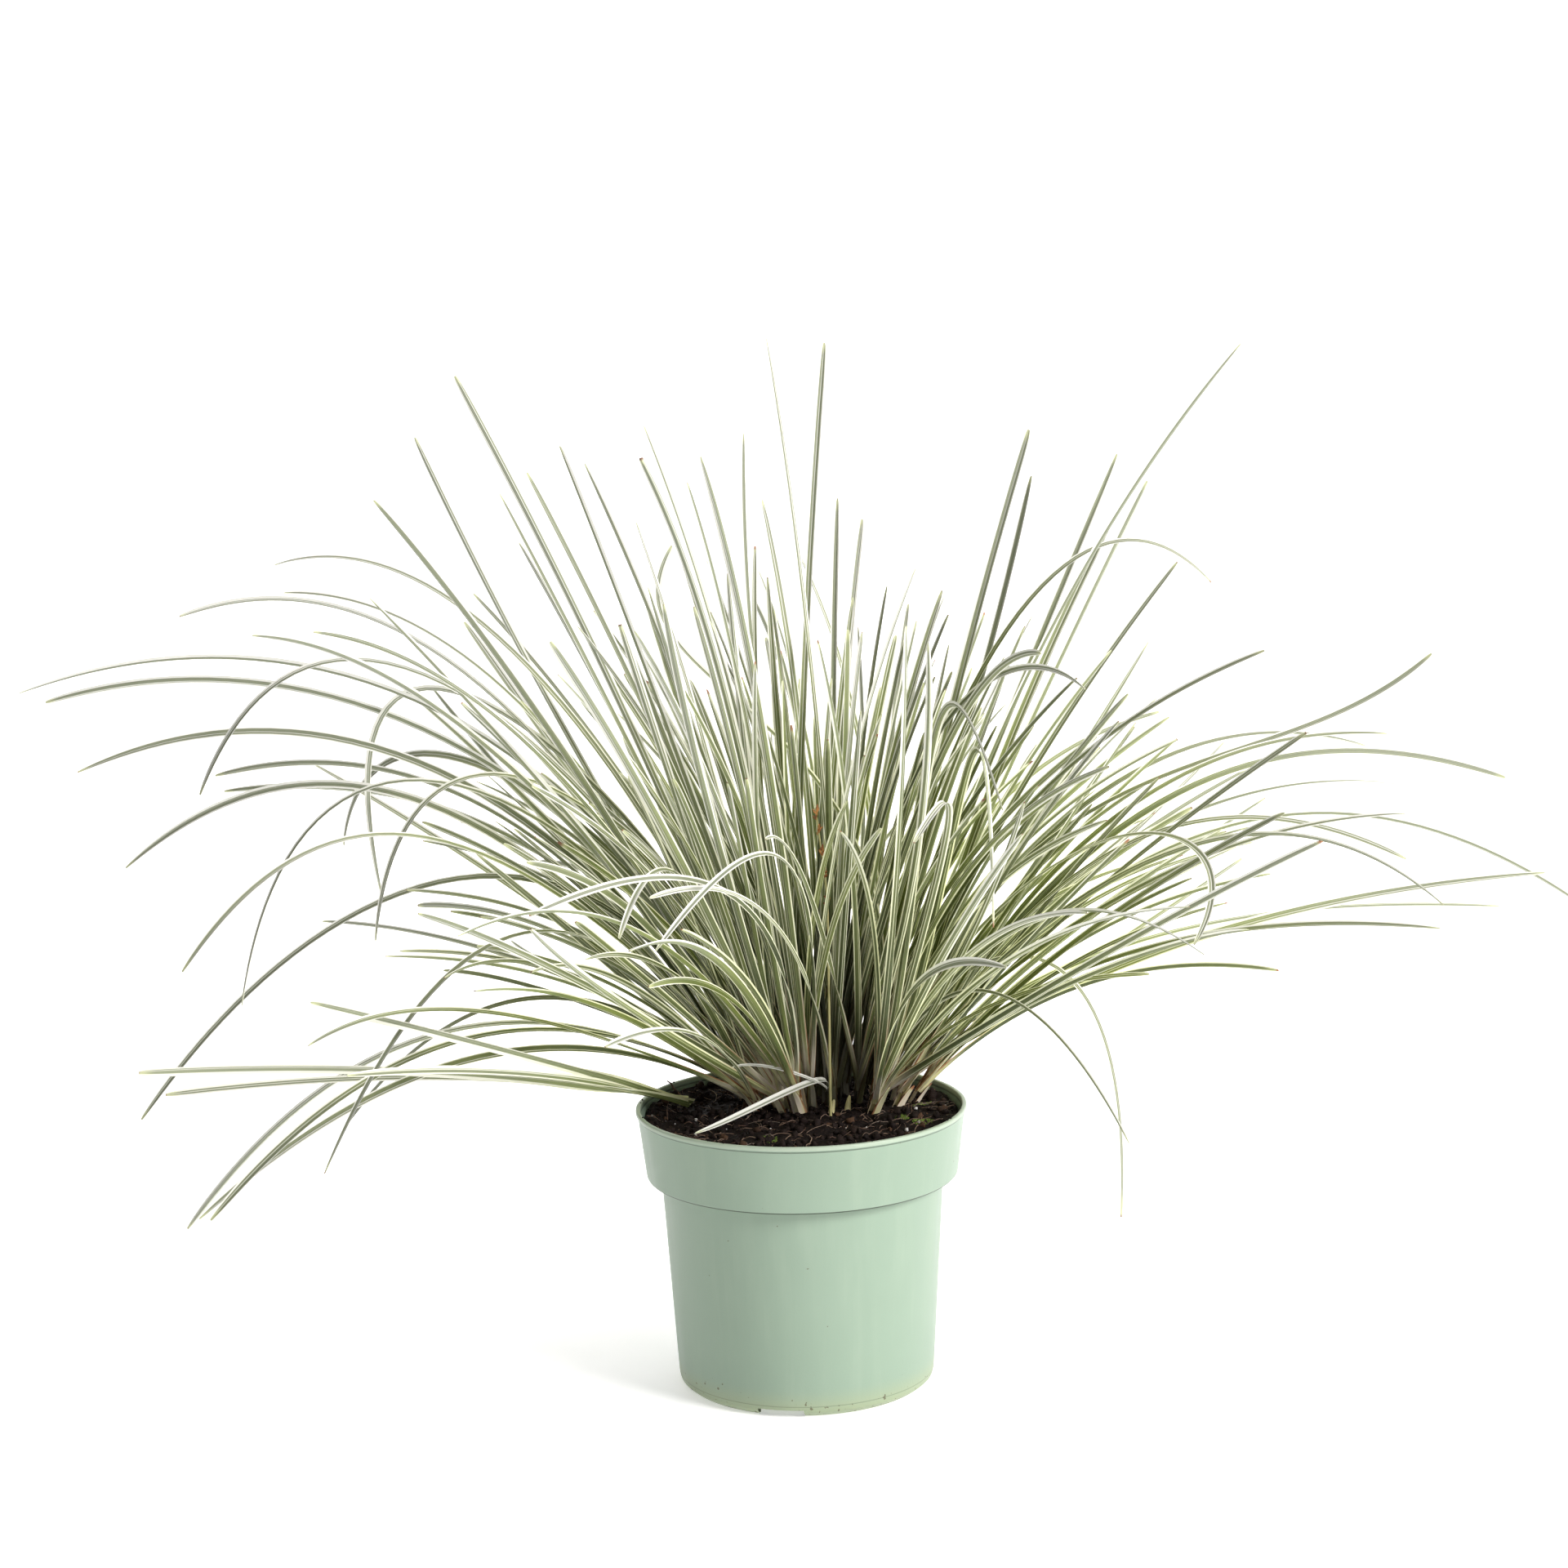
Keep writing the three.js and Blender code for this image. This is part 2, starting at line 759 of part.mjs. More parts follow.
function shootRings(shoot) {
  const foot = new THREE.Vector3(shoot.x, shoot.y, SOIL.top - SHOOT.depth);
  const collar = foot.clone().setZ(SOIL.top + shoot.height * SHOOT.collarShare);
  return [foot, collar].map((centre) => levelRing(centre, SHOOT.radius, SHOOT.sides));
}

function shootPoint(shoot) {
  return new THREE.Vector3(shoot.x + shoot.pointX, shoot.y + shoot.pointY, SOIL.top + shoot.height);
}

function makeShoot(shoot) {
  return toGeometry(toSolid(ringSkin(shootRings(shoot), shootPoint(shoot))));
}

function shootHole(shoot) {
  return uprightHole(shoot.x, shoot.y, SOIL.top - SHOOT.depth, SHOOT.radius + SHOOT.holeRoom, SHOOT.sides);
}

// Clear ways: every leaf keeps clear of what already stands

const standing = [];

/** How far a section reaches along a direction, measured from its centre. */
function halfExtent(section, direction) {
  return Math.abs(section.side.dot(direction)) + Math.abs(section.face.dot(direction));
}

/** Shortest way between two stretches, as a vector from the first to the second. */
function shortestWay(a, b, c, d) {
  const first = b.clone().sub(a);
  const second = d.clone().sub(c);
  const offset = a.clone().sub(c);
  const firstSquare = first.lengthSq();
  const secondSquare = second.lengthSq();
  const product = first.dot(second);
  const firstOffset = first.dot(offset);
  const secondOffset = second.dot(offset);
  const spread = firstSquare * secondSquare - product * product;
  const clamp = THREE.MathUtils.clamp;
  let s = spread > 1e-9 ? clamp((product * secondOffset - firstOffset * secondSquare) / spread, 0, 1) : 0;
  const t = clamp((product * s + secondOffset) / secondSquare, 0, 1);
  s = clamp((product * t - firstOffset) / firstSquare, 0, 1);
  return c.clone().addScaledVector(second, t).sub(a).addScaledVector(first, -s);
}

/** Two stretches are clear when a plane across the shortest way between them parts them. */
function stretchesClear(one, other) {
  const way = shortestWay(one.start.centre, one.end.centre, other.start.centre, other.end.centre);
  const distance = way.length();
  if (distance > one.reach + other.reach + LEAF.gap) {
    return true;
  }
  if (distance < LEAF.gap) {
    return false;
  }
  const direction = way.multiplyScalar(1 / distance);
  const oneHalf = Math.max(halfExtent(one.start, direction), halfExtent(one.end, direction));
  const otherHalf = Math.max(halfExtent(other.start, direction), halfExtent(other.end, direction));
  return distance > oneHalf + otherHalf + LEAF.gap;
}

/** A leaf's stretches between its sections; free is the part that stands clear of its own fan. */
function stretchesOf(fan, sections) {
  const stretches = [];
  for (let k = 0; k + 1 < sections.length; k += 1) {
    const [start, end] = [sections[k], sections[k + 1]];
    const reach = Math.max(...[start, end].map(({ side, face }) => side.length() + face.length()));
    const stretch = { fan, start, end, reach };
    stretch.free = stretch;
    if (k === 0) {
      const share = LEAF.fused / start.centre.distanceTo(end.centre);
      const centre = start.centre.clone().lerp(end.centre, share);
      stretch.free = { fan, start: { ...start, centre }, end, reach };
    }
    stretches.push(stretch);
  }
  return stretches;
}

/** A fan's sheath as a thick stretch, so that other fans' leaves pass beside it. */
function standSheath(fan) {
  const section = (centre) => ({
    centre,
    side: fan.line.clone().multiplyScalar(SHEATH.width / 2),
    face: fan.across.clone().multiplyScalar(SHEATH.thickness / 2),
  });
  const top = fan.root.clone().addScaledVector(fan.axis, SHEATH.length);
  standing.push({
    fan, start: section(fan.root.clone()), end: section(top), reach: SHEATH.width, sheath: true,
  });
}

/** A thin upright as stretches of one radius. */
function standUpright(points, radius) {
  const section = (centre) => ({
    centre,
    side: new THREE.Vector3(radius, 0, 0),
    face: new THREE.Vector3(0, radius, 0),
  });
  for (let k = 0; k + 1 < points.length; k += 1) {
    standing.push({
      fan: null, start: section(points[k]), end: section(points[k + 1]), reach: 2 * radius,
    });
  }
}

/** Over the soil and the pot's rim a leaf passes with room to spare. */
function clearsPot(sections, leaf) {
  const clearance = leaf.bentOverRim ? CLEARANCE.bentOverRim : CLEARANCE.normal;
  const steps = 6;
  for (let k = 0; k + 1 < sections.length; k += 1) {
    for (let i = k === 0 ? 1 : 0; i <= steps; i += 1) {
      const point = sections[k].centre.clone().lerp(sections[k + 1].centre, i / steps);
      const radius = Math.hypot(point.x, point.y);
      const floor = radius < CLEARANCE.soilRadius ? SOIL.top + CLEARANCE.soilRise : POT.height;
      if (radius < CLEARANCE.rimRadius && point.z < floor + clearance) {
        return false;
      }
    }
  }
  return true;
}

/** Leaves of one fan are fused in their sheath, and keep clear of each other from there on. */
function waysClear(fan, sections) {
  const stretches = stretchesOf(fan, sections);
  for (const one of stretches) {
    for (const other of standing) {
      const sisters = other.fan === fan;
      if (sisters && other.sheath) {
        continue;
      }
      const clear = sisters ? stretchesClear(one.free, other.free) : stretchesClear(one, other);
      if (!clear) {
        return null;
      }
    }
  }
  return stretches;
}

/** Where a leaf that heads for a point leaves its fan, sunk well in the sheath. */
function leafFoot(fan, target) {
  const out = target.clone().sub(fan.root).setZ(0).normalize();
  return fan.root.clone()
    .addScaledVector(fan.axis, SHEATH.length * LEAF.footRise)
    .addScaledVector(fan.line, LEAF.footOut * out.dot(fan.line) + draw(-LEAF.footAlong, LEAF.footAlong))
    .addScaledVector(fan.across, draw(-LEAF.footAcross, LEAF.footAcross));
}

/** A leaf on a route, with its own width, its twist near the foot and its slow twirl along it. */
function dressLeaf(fan, points) {
  return {
    points,
    width: LEAF.width * draw(...LEAF.widthRange),
    twist: draw(-LEAF.twist, LEAF.twist),
    twirl: draw(-LEAF.twirl, LEAF.twirl),
    tone: draw(),
    fan,
  };
}

/** A leaf that follows one row of an area, from a fan near the place that the row names. */
function readLeaf(fans, area, row) {
  const footX = row[0];
  const seen = [];
  for (let i = 1; i < row.length; i += 2) {
    seen.push([row[i], row[i + 1]]);
  }
  let flatLength = 0;
  let [lastX, lastZ] = [footX, SOIL.top];
  for (const [x, z] of seen) {
    flatLength += Math.hypot(x - lastX, z - lastZ);
    [lastX, lastZ] = [x, z];
  }
  const sign = area.side === 'front' || draw() < 0.5 ? -1 : 1;
  const length = (area.length ?? LEAF.length) * draw(...LEAF.lengthRange);
  const leastSquare = (DEPTH.leastUnseen * length) ** 2;
  const unseenLength = Math.sqrt(Math.max(length ** 2 - flatLength ** 2, leastSquare));
  const depthReach = unseenLength * draw(...DEPTH.range);
  const tipDepth = area.depth ?? CROWN.y + sign * depthReach;
  const wantedY = CROWN.y + sign * Math.min(CROWN.radiusY, DEPTH.footShare * depthReach);
  const wanted = (fan) => (
    Math.abs(fan.root.x - footX)
    + DEPTH.weight * Math.abs(fan.root.y - wantedY)
    + DEPTH.crowding * fan.leaves.length
  );
  const choice = fans
    .filter((fan) => (area.lowBunch ? fan.reach > 1 : fan.reach < 1))
    .sort((one, other) => wanted(one) - wanted(other));
  const fan = choice[Math.floor(draw(0, Math.min(DEPTH.choices, choice.length)))];
  const points = seen.map(([x, z], i) => {
    const share = (i + 1) / seen.length;
    return seenAt(x, z, fan.root.y + (tipDepth - fan.root.y) * share);
  });
  points.unshift(leafFoot(fan, points[points.length - 1]));
  return { ...dressLeaf(fan, points), bentOverRim: area.depth !== undefined };
}

/** A leaf that fills the clump: it sets out near its fan's own lean and arches over. */
function fillingLeaf(fans) {
  const one = fans[Math.floor(draw(0, fans.length - 1))];
  const other = fans[Math.floor(draw(0, fans.length - 1))];
  const fan = one.leaves.length <= other.leaves.length ? one : other;
  const spread = FILLING.leastSpread + FILLING.innerSpread * (1 - fan.reach);
  const startAzimuth = fan.azimuth + draw(-spread, spread);
  const endAzimuth = startAzimuth + draw(-FILLING.turn, FILLING.turn);
  const startLean = fan.lean * draw(...FILLING.leanRange) + draw(...FILLING.leanShift);
  const endLean = startLean + draw(...FILLING.arch);
  const length = LEAF.length * draw(...FILLING.length);
  const start = heading(startLean, startAzimuth);
  const foot = leafFoot(fan, fan.root.clone().addScaledVector(start, length));
  const bendPoint = foot.clone().addScaledVector(start, length / 2);
  const tip = bendPoint.clone().addScaledVector(heading(endLean, endAzimuth), length / 2);
  const middle = foot.clone().add(tip).multiplyScalar(0.25).addScaledVector(bendPoint, 0.5);
  const leaf = dressLeaf(fan, [foot, middle, tip]);
  return insideClump(tip) ? leaf : null;
}

/** Filling leaves end inside the clump's outline as seen from the front. */
function insideClump(tip) {
  const { x, z } = seenFrom(tip);
  const inside = ((x - CROWN.x) / CLUMP.halfWidth) ** 2 + ((z - SOIL.top) / CLUMP.height) ** 2 < 1;
  return inside && z > CLUMP.lowestTip;
}

/** Places the first leaf that makeLeaf gives which is clear of the pot and of all that stands. */
function placeLeaf(makeLeaf, tries) {
  for (let i = 0; i < tries; i += 1) {
    const leaf = makeLeaf();
    if (leaf) {
      const sections = leafSections(leaf);
      const stretches = clearsPot(sections, leaf) ? waysClear(leaf.fan, sections) : null;
      if (stretches) {
        standing.push(...stretches);
        leaf.fan.leaves.push({ ...leaf, sections });
        return true;
      }
    }
  }
  return false;
}

/** Grows the leaves that are read by area, then those that fill the clump. */
function growLeaves(fans) {
  fans.forEach(standSheath);
  const spike = spikePoints();
  standUpright(spike.slice(0, 3), SPIKE.radius);
  standUpright(spike.slice(2), SPIKE.huskRoom);
  for (const shoot of Object.values(SHOOTS)) {
    standUpright([new THREE.Vector3(shoot.x, shoot.y, SOIL.top), shootPoint(shoot)], SHOOT.radius);
  }
  let count = 0;
  for (const area of Object.values(LEAF_AREAS)) {
    for (const row of area.rows) {
      count += placeLeaf(() => readLeaf(fans, area, row), LEAF.tries) ? 1 : 0;
    }
  }
  for (let i = 0; i < LEAF.fillingTries && count < LEAF.count; i += 1) {
    count += placeLeaf(() => fillingLeaf(fans), 1) ? 1 : 0;
  }
}

/** A fan's sheath and leaves fused in one solid. */
function makeTuft(fan) {
  const skins = fan.leaves.map((leaf) => toSolid(leafSkin(leaf.sections)));
  const tuft = wasm.Manifold.union([toSolid(sheathSkin(fan)), ...skins]);
  return toGeometry(wholePiece(tuft));
}

// Assembly

const fans = crownFans();
growLeaves(fans);

const group = new THREE.Group();

function place(name, geometry, color, roughness) {
  const material = new THREE.MeshStandardMaterial({ color, roughness, metalness: 0 });
  const mesh = new THREE.Mesh(geometry, material);
  mesh.name = name;
  group.add(mesh);
}

place('pot', makePot(), 0xb0c6b1, 0.45);
place('potting_soil', makeSoil([
  ...fans.map(sheathHole),
  ...Object.values(SHOOTS).map(shootHole),
  spikeHole(),
]), 0x2b201a, 0.95);
place('flower_spike', makeSpike(), 0x8a5a32, 0.85);
for (const [name, shoot] of Object.entries(SHOOTS)) {
  place(name, makeShoot(shoot), 0xe4dcae, 0.5);
}
fans.forEach((fan, i) => {
  place(`leaf_tuft_${String(i + 1).padStart(2, '0')}`, makeTuft(fan), 0x8fa077, 0.5);
});

export default group;
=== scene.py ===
"""A potted variegated lomandra: the looks, made round the packed part.

The leaves grow here by the same rule, the same rows and the same random draws as in the part,
so every fine leaf lies where the part's plain leaf does. Growth is worked out in millimetres
and the meshes are in metres.
"""

import math
from types import SimpleNamespace as Record

import bmesh
import bpy
import numpy as np
from mathutils import Matrix, Vector, noise


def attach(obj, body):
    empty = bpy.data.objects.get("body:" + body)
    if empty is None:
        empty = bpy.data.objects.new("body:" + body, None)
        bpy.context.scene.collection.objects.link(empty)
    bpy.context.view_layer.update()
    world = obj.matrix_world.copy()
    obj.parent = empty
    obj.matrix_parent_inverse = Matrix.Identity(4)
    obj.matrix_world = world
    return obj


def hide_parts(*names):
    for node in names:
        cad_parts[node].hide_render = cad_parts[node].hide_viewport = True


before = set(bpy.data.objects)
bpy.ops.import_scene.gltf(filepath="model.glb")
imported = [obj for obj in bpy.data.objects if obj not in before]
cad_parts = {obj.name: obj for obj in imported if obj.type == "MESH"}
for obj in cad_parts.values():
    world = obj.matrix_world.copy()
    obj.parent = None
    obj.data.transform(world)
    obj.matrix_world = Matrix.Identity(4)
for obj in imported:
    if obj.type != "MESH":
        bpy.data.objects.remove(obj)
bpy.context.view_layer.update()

MM = 0.001
UP = np.array([0.0, 0.0, 1.0])

# Driving sizes that the part and this script share, in millimetres and radians

POT = Record(
    height=145, wall=1.4, foot_radius=62, heel_radius=66.1, heel_height=5.6, heel_rounding=0.6,
    waist_radius=72.6, waist_height=108.8, collar_radius=80.1, collar_height=110.2,
    collar_rounding=0.8, lip_radius=84, bead_radius=85, bead_height=2.2, bead_slope=0.6,
    pad_radius=34, pad_slope=1, floor_rise=4, floor_thickness=1.5, skirt_width=2.8,
)
DRAIN = Record(count=8, radius=4.5, circle=47)
NOTCH = Record(count=3, width=23.5, height=3.9, first_angle=math.radians(-102.2))
SOIL = Record(top=137, relief=0.78, lining=0.42)
CROWN = Record(
    x=14, y=34, radius_x=45, radius_y=28.5, fans=36, jitter=0.7, turn_jitter=0.6,
    lean=math.radians(47), lean_power=1.6,
)
SIDE_FAN = Record(x=-53, y=22, azimuth=math.radians(-172), lean=math.radians(62), reach=1.2)
SHEATH = Record(length=17, width=8.6, thickness=4.6, root_rise=2)
LEAF = Record(
    length=385, width=4.3, width_range=(0.84, 1.14), thickness=0.9, foot_share=0.36, foot_rise=0.35,
    foot_length=0.2, slip=1.2, slip_jitter=1.7, across_jitter=1.1, last_ring=0.94,
    bends=(0.35, 1, 1.7), twist=1.1, twirl=0.9, twist_from=0.35, gap=0.35, fused=32, tries=300,
    count=316, filling_tries=9000,
)
# A leaf that is read: its length as a share, the least share of it that runs in depth, how much of
# that its tip takes up, and how a fan is wanted by its place and by the leaves that it has
READING = Record(
    length=(0.85, 1.08), least_depth=0.12, depth=(0.35, 1), fan_depth=5, behind=0.6, crowding=4
)
# A leaf that fills: how far it turns from its fan's azimuth and lean, how it arches, its length
FILLING = Record(
    spread=0.25, inner_spread=1.4, turn=0.5, lean=(0.5, 1), tilt=(-0.05, 0.14), arch=(0.05, 0.95),
    length=(0.5, 1.06),
)
CLEARANCE = Record(pot=2.6, soil_rise=1, soil_radius=76, rim_radius=90, steps=6)
CLUMP = Record(half_width=250, height=300, lowest_tip=205)
SPIKE = Record(
    stem=[(15, 1, 126), (15.5, 1, 200), (15.8, 0, 256), (12.2, -1, 284), (10.5, -2, 299)],
    radius=0.8, husk_room=2.6, husks=[(0.72, 2.2), (0.8, 2), (0.86, 2.6), (0.93, 2), (0.98, 2.4)],
)
SHOOTS = {
    "young_shoot_left": Record(x=15.5, y=11.5, point_x=1.8, point_y=1, height=6.5),
    "young_shoot_right": Record(x=24, y=14.5, point_x=1.4, point_y=0.6, height=8),
}
SHOOT = Record(radius=1.7, depth=7, room=8.5)

# The camera stands where the plant was looked at from
VIEWPOINT = np.array([-5.0, -1616.0, 566.5])
CAMERA = Record(pitch=math.radians(8.97), roll=math.radians(-1.3), lens=74.25, sensor=36)

# What sets the leaves of some areas apart. Their way: whether they lie in front or in the side
# fan, their length, the depth of their tips and their clearance from the pot. Their looks: where
# their flat side faces, the width of their base and how far up it goes, both as shares, their
# width against the part's, how blunt, cream and yellow-green they are from 0 to 1, and how many
# millimetres past their sheath their colours begin.
AREA_RULES = {
    "over_rim": {
        "front": True, "tip_depth": -60, "clearance": 1.2, "facing": (0.1, -0.75, 0.65),
        "width": 0.76, "blunt": 0.0, "cream": 0.9, "hue": 0.0, "past_sheath": 220,
    },
    "lowest_left": {
        "front": True, "side_fan": True, "length": 315, "facing": (0.1, -0.8, 0.6),
        "base": (1.7, 0.3), "cream": 0.5, "hue": 1.0, "past_sheath": 130,
    },
    "low_right": {"front": True, "length": 330, "width": 0.6, "cream": 0.6, "hue": 0.1},
    "front_hooks": {
        "front": True, "facing": (0.1, -0.8, 0.6), "width": 0.8, "cream": 0.7, "hue": 0.0,
    },
    "right_hooks": {"front": True, "cream": 0.5},
    "filling": {"width": 0.85},
}

# Leaves by area: where each leaves the crown, then x and z of the points it is seen to pass
# against the plane of the pot's axis, its tip last
LEAF_AREAS = {
    "over_rim": [[10, 5, 156, -24, 143.5, -55, 130.5]],
    "lowest_left": [
        [-54, -190, 166, -340, 169], [-54, -180, 163, -327, 157], [-54, -150, 176, -250, 204],
        [-54, -140, 164, -233, 165],
    ],
    "low_right": [
        [44, 86, 212, 142, 204, 164, 79], [40, 78, 200, 124, 186, 169, 119],
    ],
    "front_hooks": [
        [15, -30, 252, -137, 246], [14, -4, 270, -73, 226], [18, 6, 256, -15, 283],
        [-14, -56, 262, -91, 233], [16, -12, 240, -75, 254], [-18, -52, 182, -100, 177],
    ],
    "right_hooks": [
        [48, 60, 262, 76, 346, 106, 294], [46, 72, 250, 92, 326, 100, 233],
        [44, 62, 226, 78, 292, 60, 279], [34, 60, 205, 107, 214], [35, 116, 236, 208, 218],
    ],
    "low_left": [
        [-38, -138, 222, -242, 246], [-36, -112, 258, -224, 250, -340, 143],
        [-33, -135, 238, -247, 112], [-40, -185, 186, -319, 85], [-38, -165, 184, -307, 89],
        [-36, -160, 174, -313, 90], [-42, -140, 203, -237, 135], [-44, -155, 196, -252, 181],
        [-40, -113, 214, -181, 215], [-44, -115, 202, -181, 219], [-34, -112, 232, -193, 253],
        [-38, -116, 214, -193, 249], [-36, -95, 202, -146, 234], [-38, -88, 198, -136, 240],
        [-32, -72, 206, -113, 243], [-36, -85, 208, -137, 217],
    ],
    "high_left": [
        [-30, -112, 302, -240, 376, -390, 366], [-26, -110, 290, -235, 362, -377, 361],
        [-30, -100, 262, -215, 336, -363, 325], [-22, -96, 296, -206, 378, -301, 311],
        [-18, -90, 300, -186, 364, -210, 255], [-20, -160, 368, -307, 403], [-16, -134, 352, -254, 414],
        [-12, -136, 378, -258, 428], [-24, -148, 328, -271, 393], [-20, -122, 322, -240, 394],
        [-30, -152, 300, -293, 322], [-33, -142, 286, -289, 314],
        [-26, -118, 262, -226, 316, -341, 275], [-35, -132, 252, -244, 328],
        [-36, -112, 250, -214, 290, -315, 220], [-28, -100, 272, -208, 316, -285, 201],
        [-20, -84, 282, -166, 318, -215, 234], [-24, -86, 270, -176, 330, -229, 284],
        [-28, -110, 292, -211, 411],
    ],
    "right": [
        [42, 132, 282, 232, 326, 323, 371], [46, 165, 292, 301, 330], [40, 160, 306, 290, 324],
        [44, 148, 272, 250, 320, 361, 306], [50, 175, 280, 309, 304], [48, 170, 252, 310, 289],
        [46, 160, 258, 275, 290, 403, 238], [44, 168, 276, 311, 265], [48, 192, 272, 330, 241],
        [54, 200, 226, 382, 257], [56, 180, 228, 359, 240], [52, 170, 220, 329, 229],
        [56, 140, 225, 249, 291], [50, 145, 246, 260, 332], [46, 135, 252, 230, 314],
        [44, 130, 245, 218, 328], [54, 140, 231, 239, 299], [58, 140, 211, 227, 268],
        [56, 158, 220, 268, 276], [40, 124, 262, 196, 278, 202, 223], [58, 142, 206, 230, 231],
    ],
    "upper_right": [
        [35, 118, 362, 227, 528], [40, 74, 322, 121, 488], [44, 80, 312, 122, 465],
        [40, 100, 322, 165, 475], [46, 98, 302, 162, 442], [42, 108, 314, 180, 461],
        [38, 74, 322, 140, 420, 212, 408], [40, 110, 298, 195, 420], [44, 110, 270, 180, 380],
        [30, 112, 290, 239, 374], [30, 74, 322, 126, 375], [28, 60, 310, 108, 366, 148, 356],
        [48, 84, 272, 134, 382], [50, 100, 252, 165, 340], [52, 110, 250, 173, 337],
    ],
    "upper_left": [
        [-15, -82, 344, -164, 521], [-28, -105, 322, -185, 491], [-24, -112, 324, -207, 460],
        [-10, -76, 300, -159, 412], [-12, -74, 314, -144, 462], [-4, -64, 326, -130, 472],
        [-10, -70, 306, -135, 437], [-6, -58, 326, -113, 485], [-2, -44, 322, -101, 476],
        [-18, -90, 286, -164, 398], [-8, -62, 280, -121, 387], [-30, -112, 280, -205, 373],
        [-26, -104, 268, -182, 366], [-22, -94, 270, -167, 357],
    ],
    "top": [
        [20, 10, 368, -9, 536], [-2, 6, 360, 20, 533], [-4, -15, 338, -43, 478],
        [-10, -16, 338, -21, 489], [15, 5, 320, -13, 456], [16, 20, 302, 25, 456],
        [10, 24, 318, 37, 445], [0, -28, 348, -71, 494], [-6, -30, 342, -73, 478],
        [8, -22, 338, -50, 465], [45, 36, 312, 5, 428], [40, 20, 300, -46, 372, -58, 434],
        [46, 52, 270, 58, 391], [50, 60, 266, 69, 382], [12, 4, 270, -8, 400], [30, 34, 270, 34, 391],
        [5, 34, 300, 53, 386], [-14, -40, 292, -72, 405], [-6, -40, 312, -76, 446],
    ],
}

# Random draws, the same on every run

DRAWS = Record(state=7)


def draw(low=0.0, high=1.0):
    DRAWS.state = (DRAWS.state * 1664525 + 1013904223) % 2**32
    return low + (high - low) * DRAWS.state / 2**32


def sway(size):
    return draw(-size, size)


def any_angle():
    return draw(0, 2 * math.pi)


# Growth: fans in the crown, then leaves that keep clear of all that stands


def rule(area, name, otherwise):
    """What sets the leaves of an area apart, or else what holds for all others."""
    return AREA_RULES.get(area, {}).get(name, otherwise)


def unit(vector):
    return vector / math.sqrt(vector @ vector)


def units(vectors):
    return vectors / np.linalg.norm(vectors, axis=1)[:, None]


def clamp(value):
    return min(1.0, max(0.0, value))


def on_circle(radius, angle):
    return radius * math.cos(angle), radius * math.sin(angle)


def heading(lean, azimuth):
    """The direction that leans from upright towards an azimuth."""
    return np.array([*on_circle(math.sin(lean), azimuth), math.cos(lean)])


def make_fan(x, y, azimuth, lean, reach):
    axis = heading(lean, azimuth)
    turn = azimuth + math.pi / 2 + sway(CROWN.turn_jitter)
    line = np.array([*on_circle(1, turn), 0])
    root = np.array([x, y, SOIL.top + SHEATH.root_rise])
    return Record(
        root=root, axis=axis, line=line, across=unit(np.cross(axis, line)), azimuth=azimuth, lean=lean,
        reach=reach, leaves=[],
    )


def crown_fans():
    """Fans set out evenly over the crown, leaning out more towards its edge."""
    fans = []
    golden_angle = math.pi * (3 - math.sqrt(5))
    for i in range(CROWN.fans):
        reach = math.sqrt((i + 0.5) / CROWN.fans)
        out_x, out_y = on_circle(reach, i * golden_angle)
        x = CROWN.x + CROWN.radius_x * out_x + sway(CROWN.jitter)
        y = CROWN.y + CROWN.radius_y * out_y + sway(CROWN.jitter)
        lean = CROWN.lean * reach**CROWN.lean_power
        if all(math.hypot(x - shoot.x, y - shoot.y) >= SHOOT.room for shoot in SHOOTS.values()):
            fans.append(make_fan(x, y, math.atan2(out_y, out_x), lean, reach))
    fans.append(make_fan(**vars(SIDE_FAN)))
    return fans


def on_sight_line(point, y):
    """Where the line of sight through a point reaches the depth y."""
    stretch = (y - VIEWPOINT[1]) / (point[1] - VIEWPOINT[1])
    return VIEWPOINT + (point - VIEWPOINT) * stretch


def route(points, shares):
    """Points at shares of the smooth route through evenly spaced points."""
    last = len(points) - 1
    shares = np.atleast_1d(shares) * last
    places = np.zeros((len(shares), 3))
    for i, point in enumerate(points):
        weights = np.ones(len(shares))
        for j in range(last + 1):
            if j != i:
                weights = weights * (shares - j) / (i - j)
        places += weights[:, None] * point
    return places


def directions(points, shares):
    """The unit directions in which a route runs at shares of it."""
    step = 0.01
    shares = np.atleast_1d(shares)
    ahead = route(points, np.minimum(1, shares + step))
    return units(ahead - route(points, np.maximum(0, shares - step)))


def route_bend(points):
    """How far a route turns in all, in radians."""
    steps = 8
    runs = directions(points, np.arange(steps + 1) / steps)
    turns = np.clip((runs[:-1] * runs[1:]).sum(axis=1), -1, 1)
    return float(np.arccos(turns).sum())


def first_side(points, along):
    """A leaf lies flat across the plane that it bends in."""
    middle = route(points, 0.5)[0] - points[0]
    whole = points[-1] - points[0]
    side = np.cross(middle, whole)
    if np.linalg.norm(side) < 0.02 * (whole @ whole):
        side = np.cross(along, UP)
    return unit(side)


def leaf_frames(leaf, shares):
    """Centres, sides and faces of a leaf's sections, and their faces before any twist."""
    centres = route(leaf.points, shares)
    runs = directions(leaf.points, shares)
    side = first_side(leaf.points, runs[0])
    sides, faces, flats = [], [], []
    for share, along in zip(shares, runs):
        side = unit(side - (side @ along) * along)
        face = np.cross(along, side)
        twist = leaf.twist * min(1, share / LEAF.twist_from) + leaf.twirl * share
        turned_side = side * math.cos(twist) + face * math.sin(twist)
        sides.append(turned_side)
        faces.append(np.cross(along, turned_side))
        flats.append(face)
    return centres, np.array(sides), np.array(faces), np.array(flats)


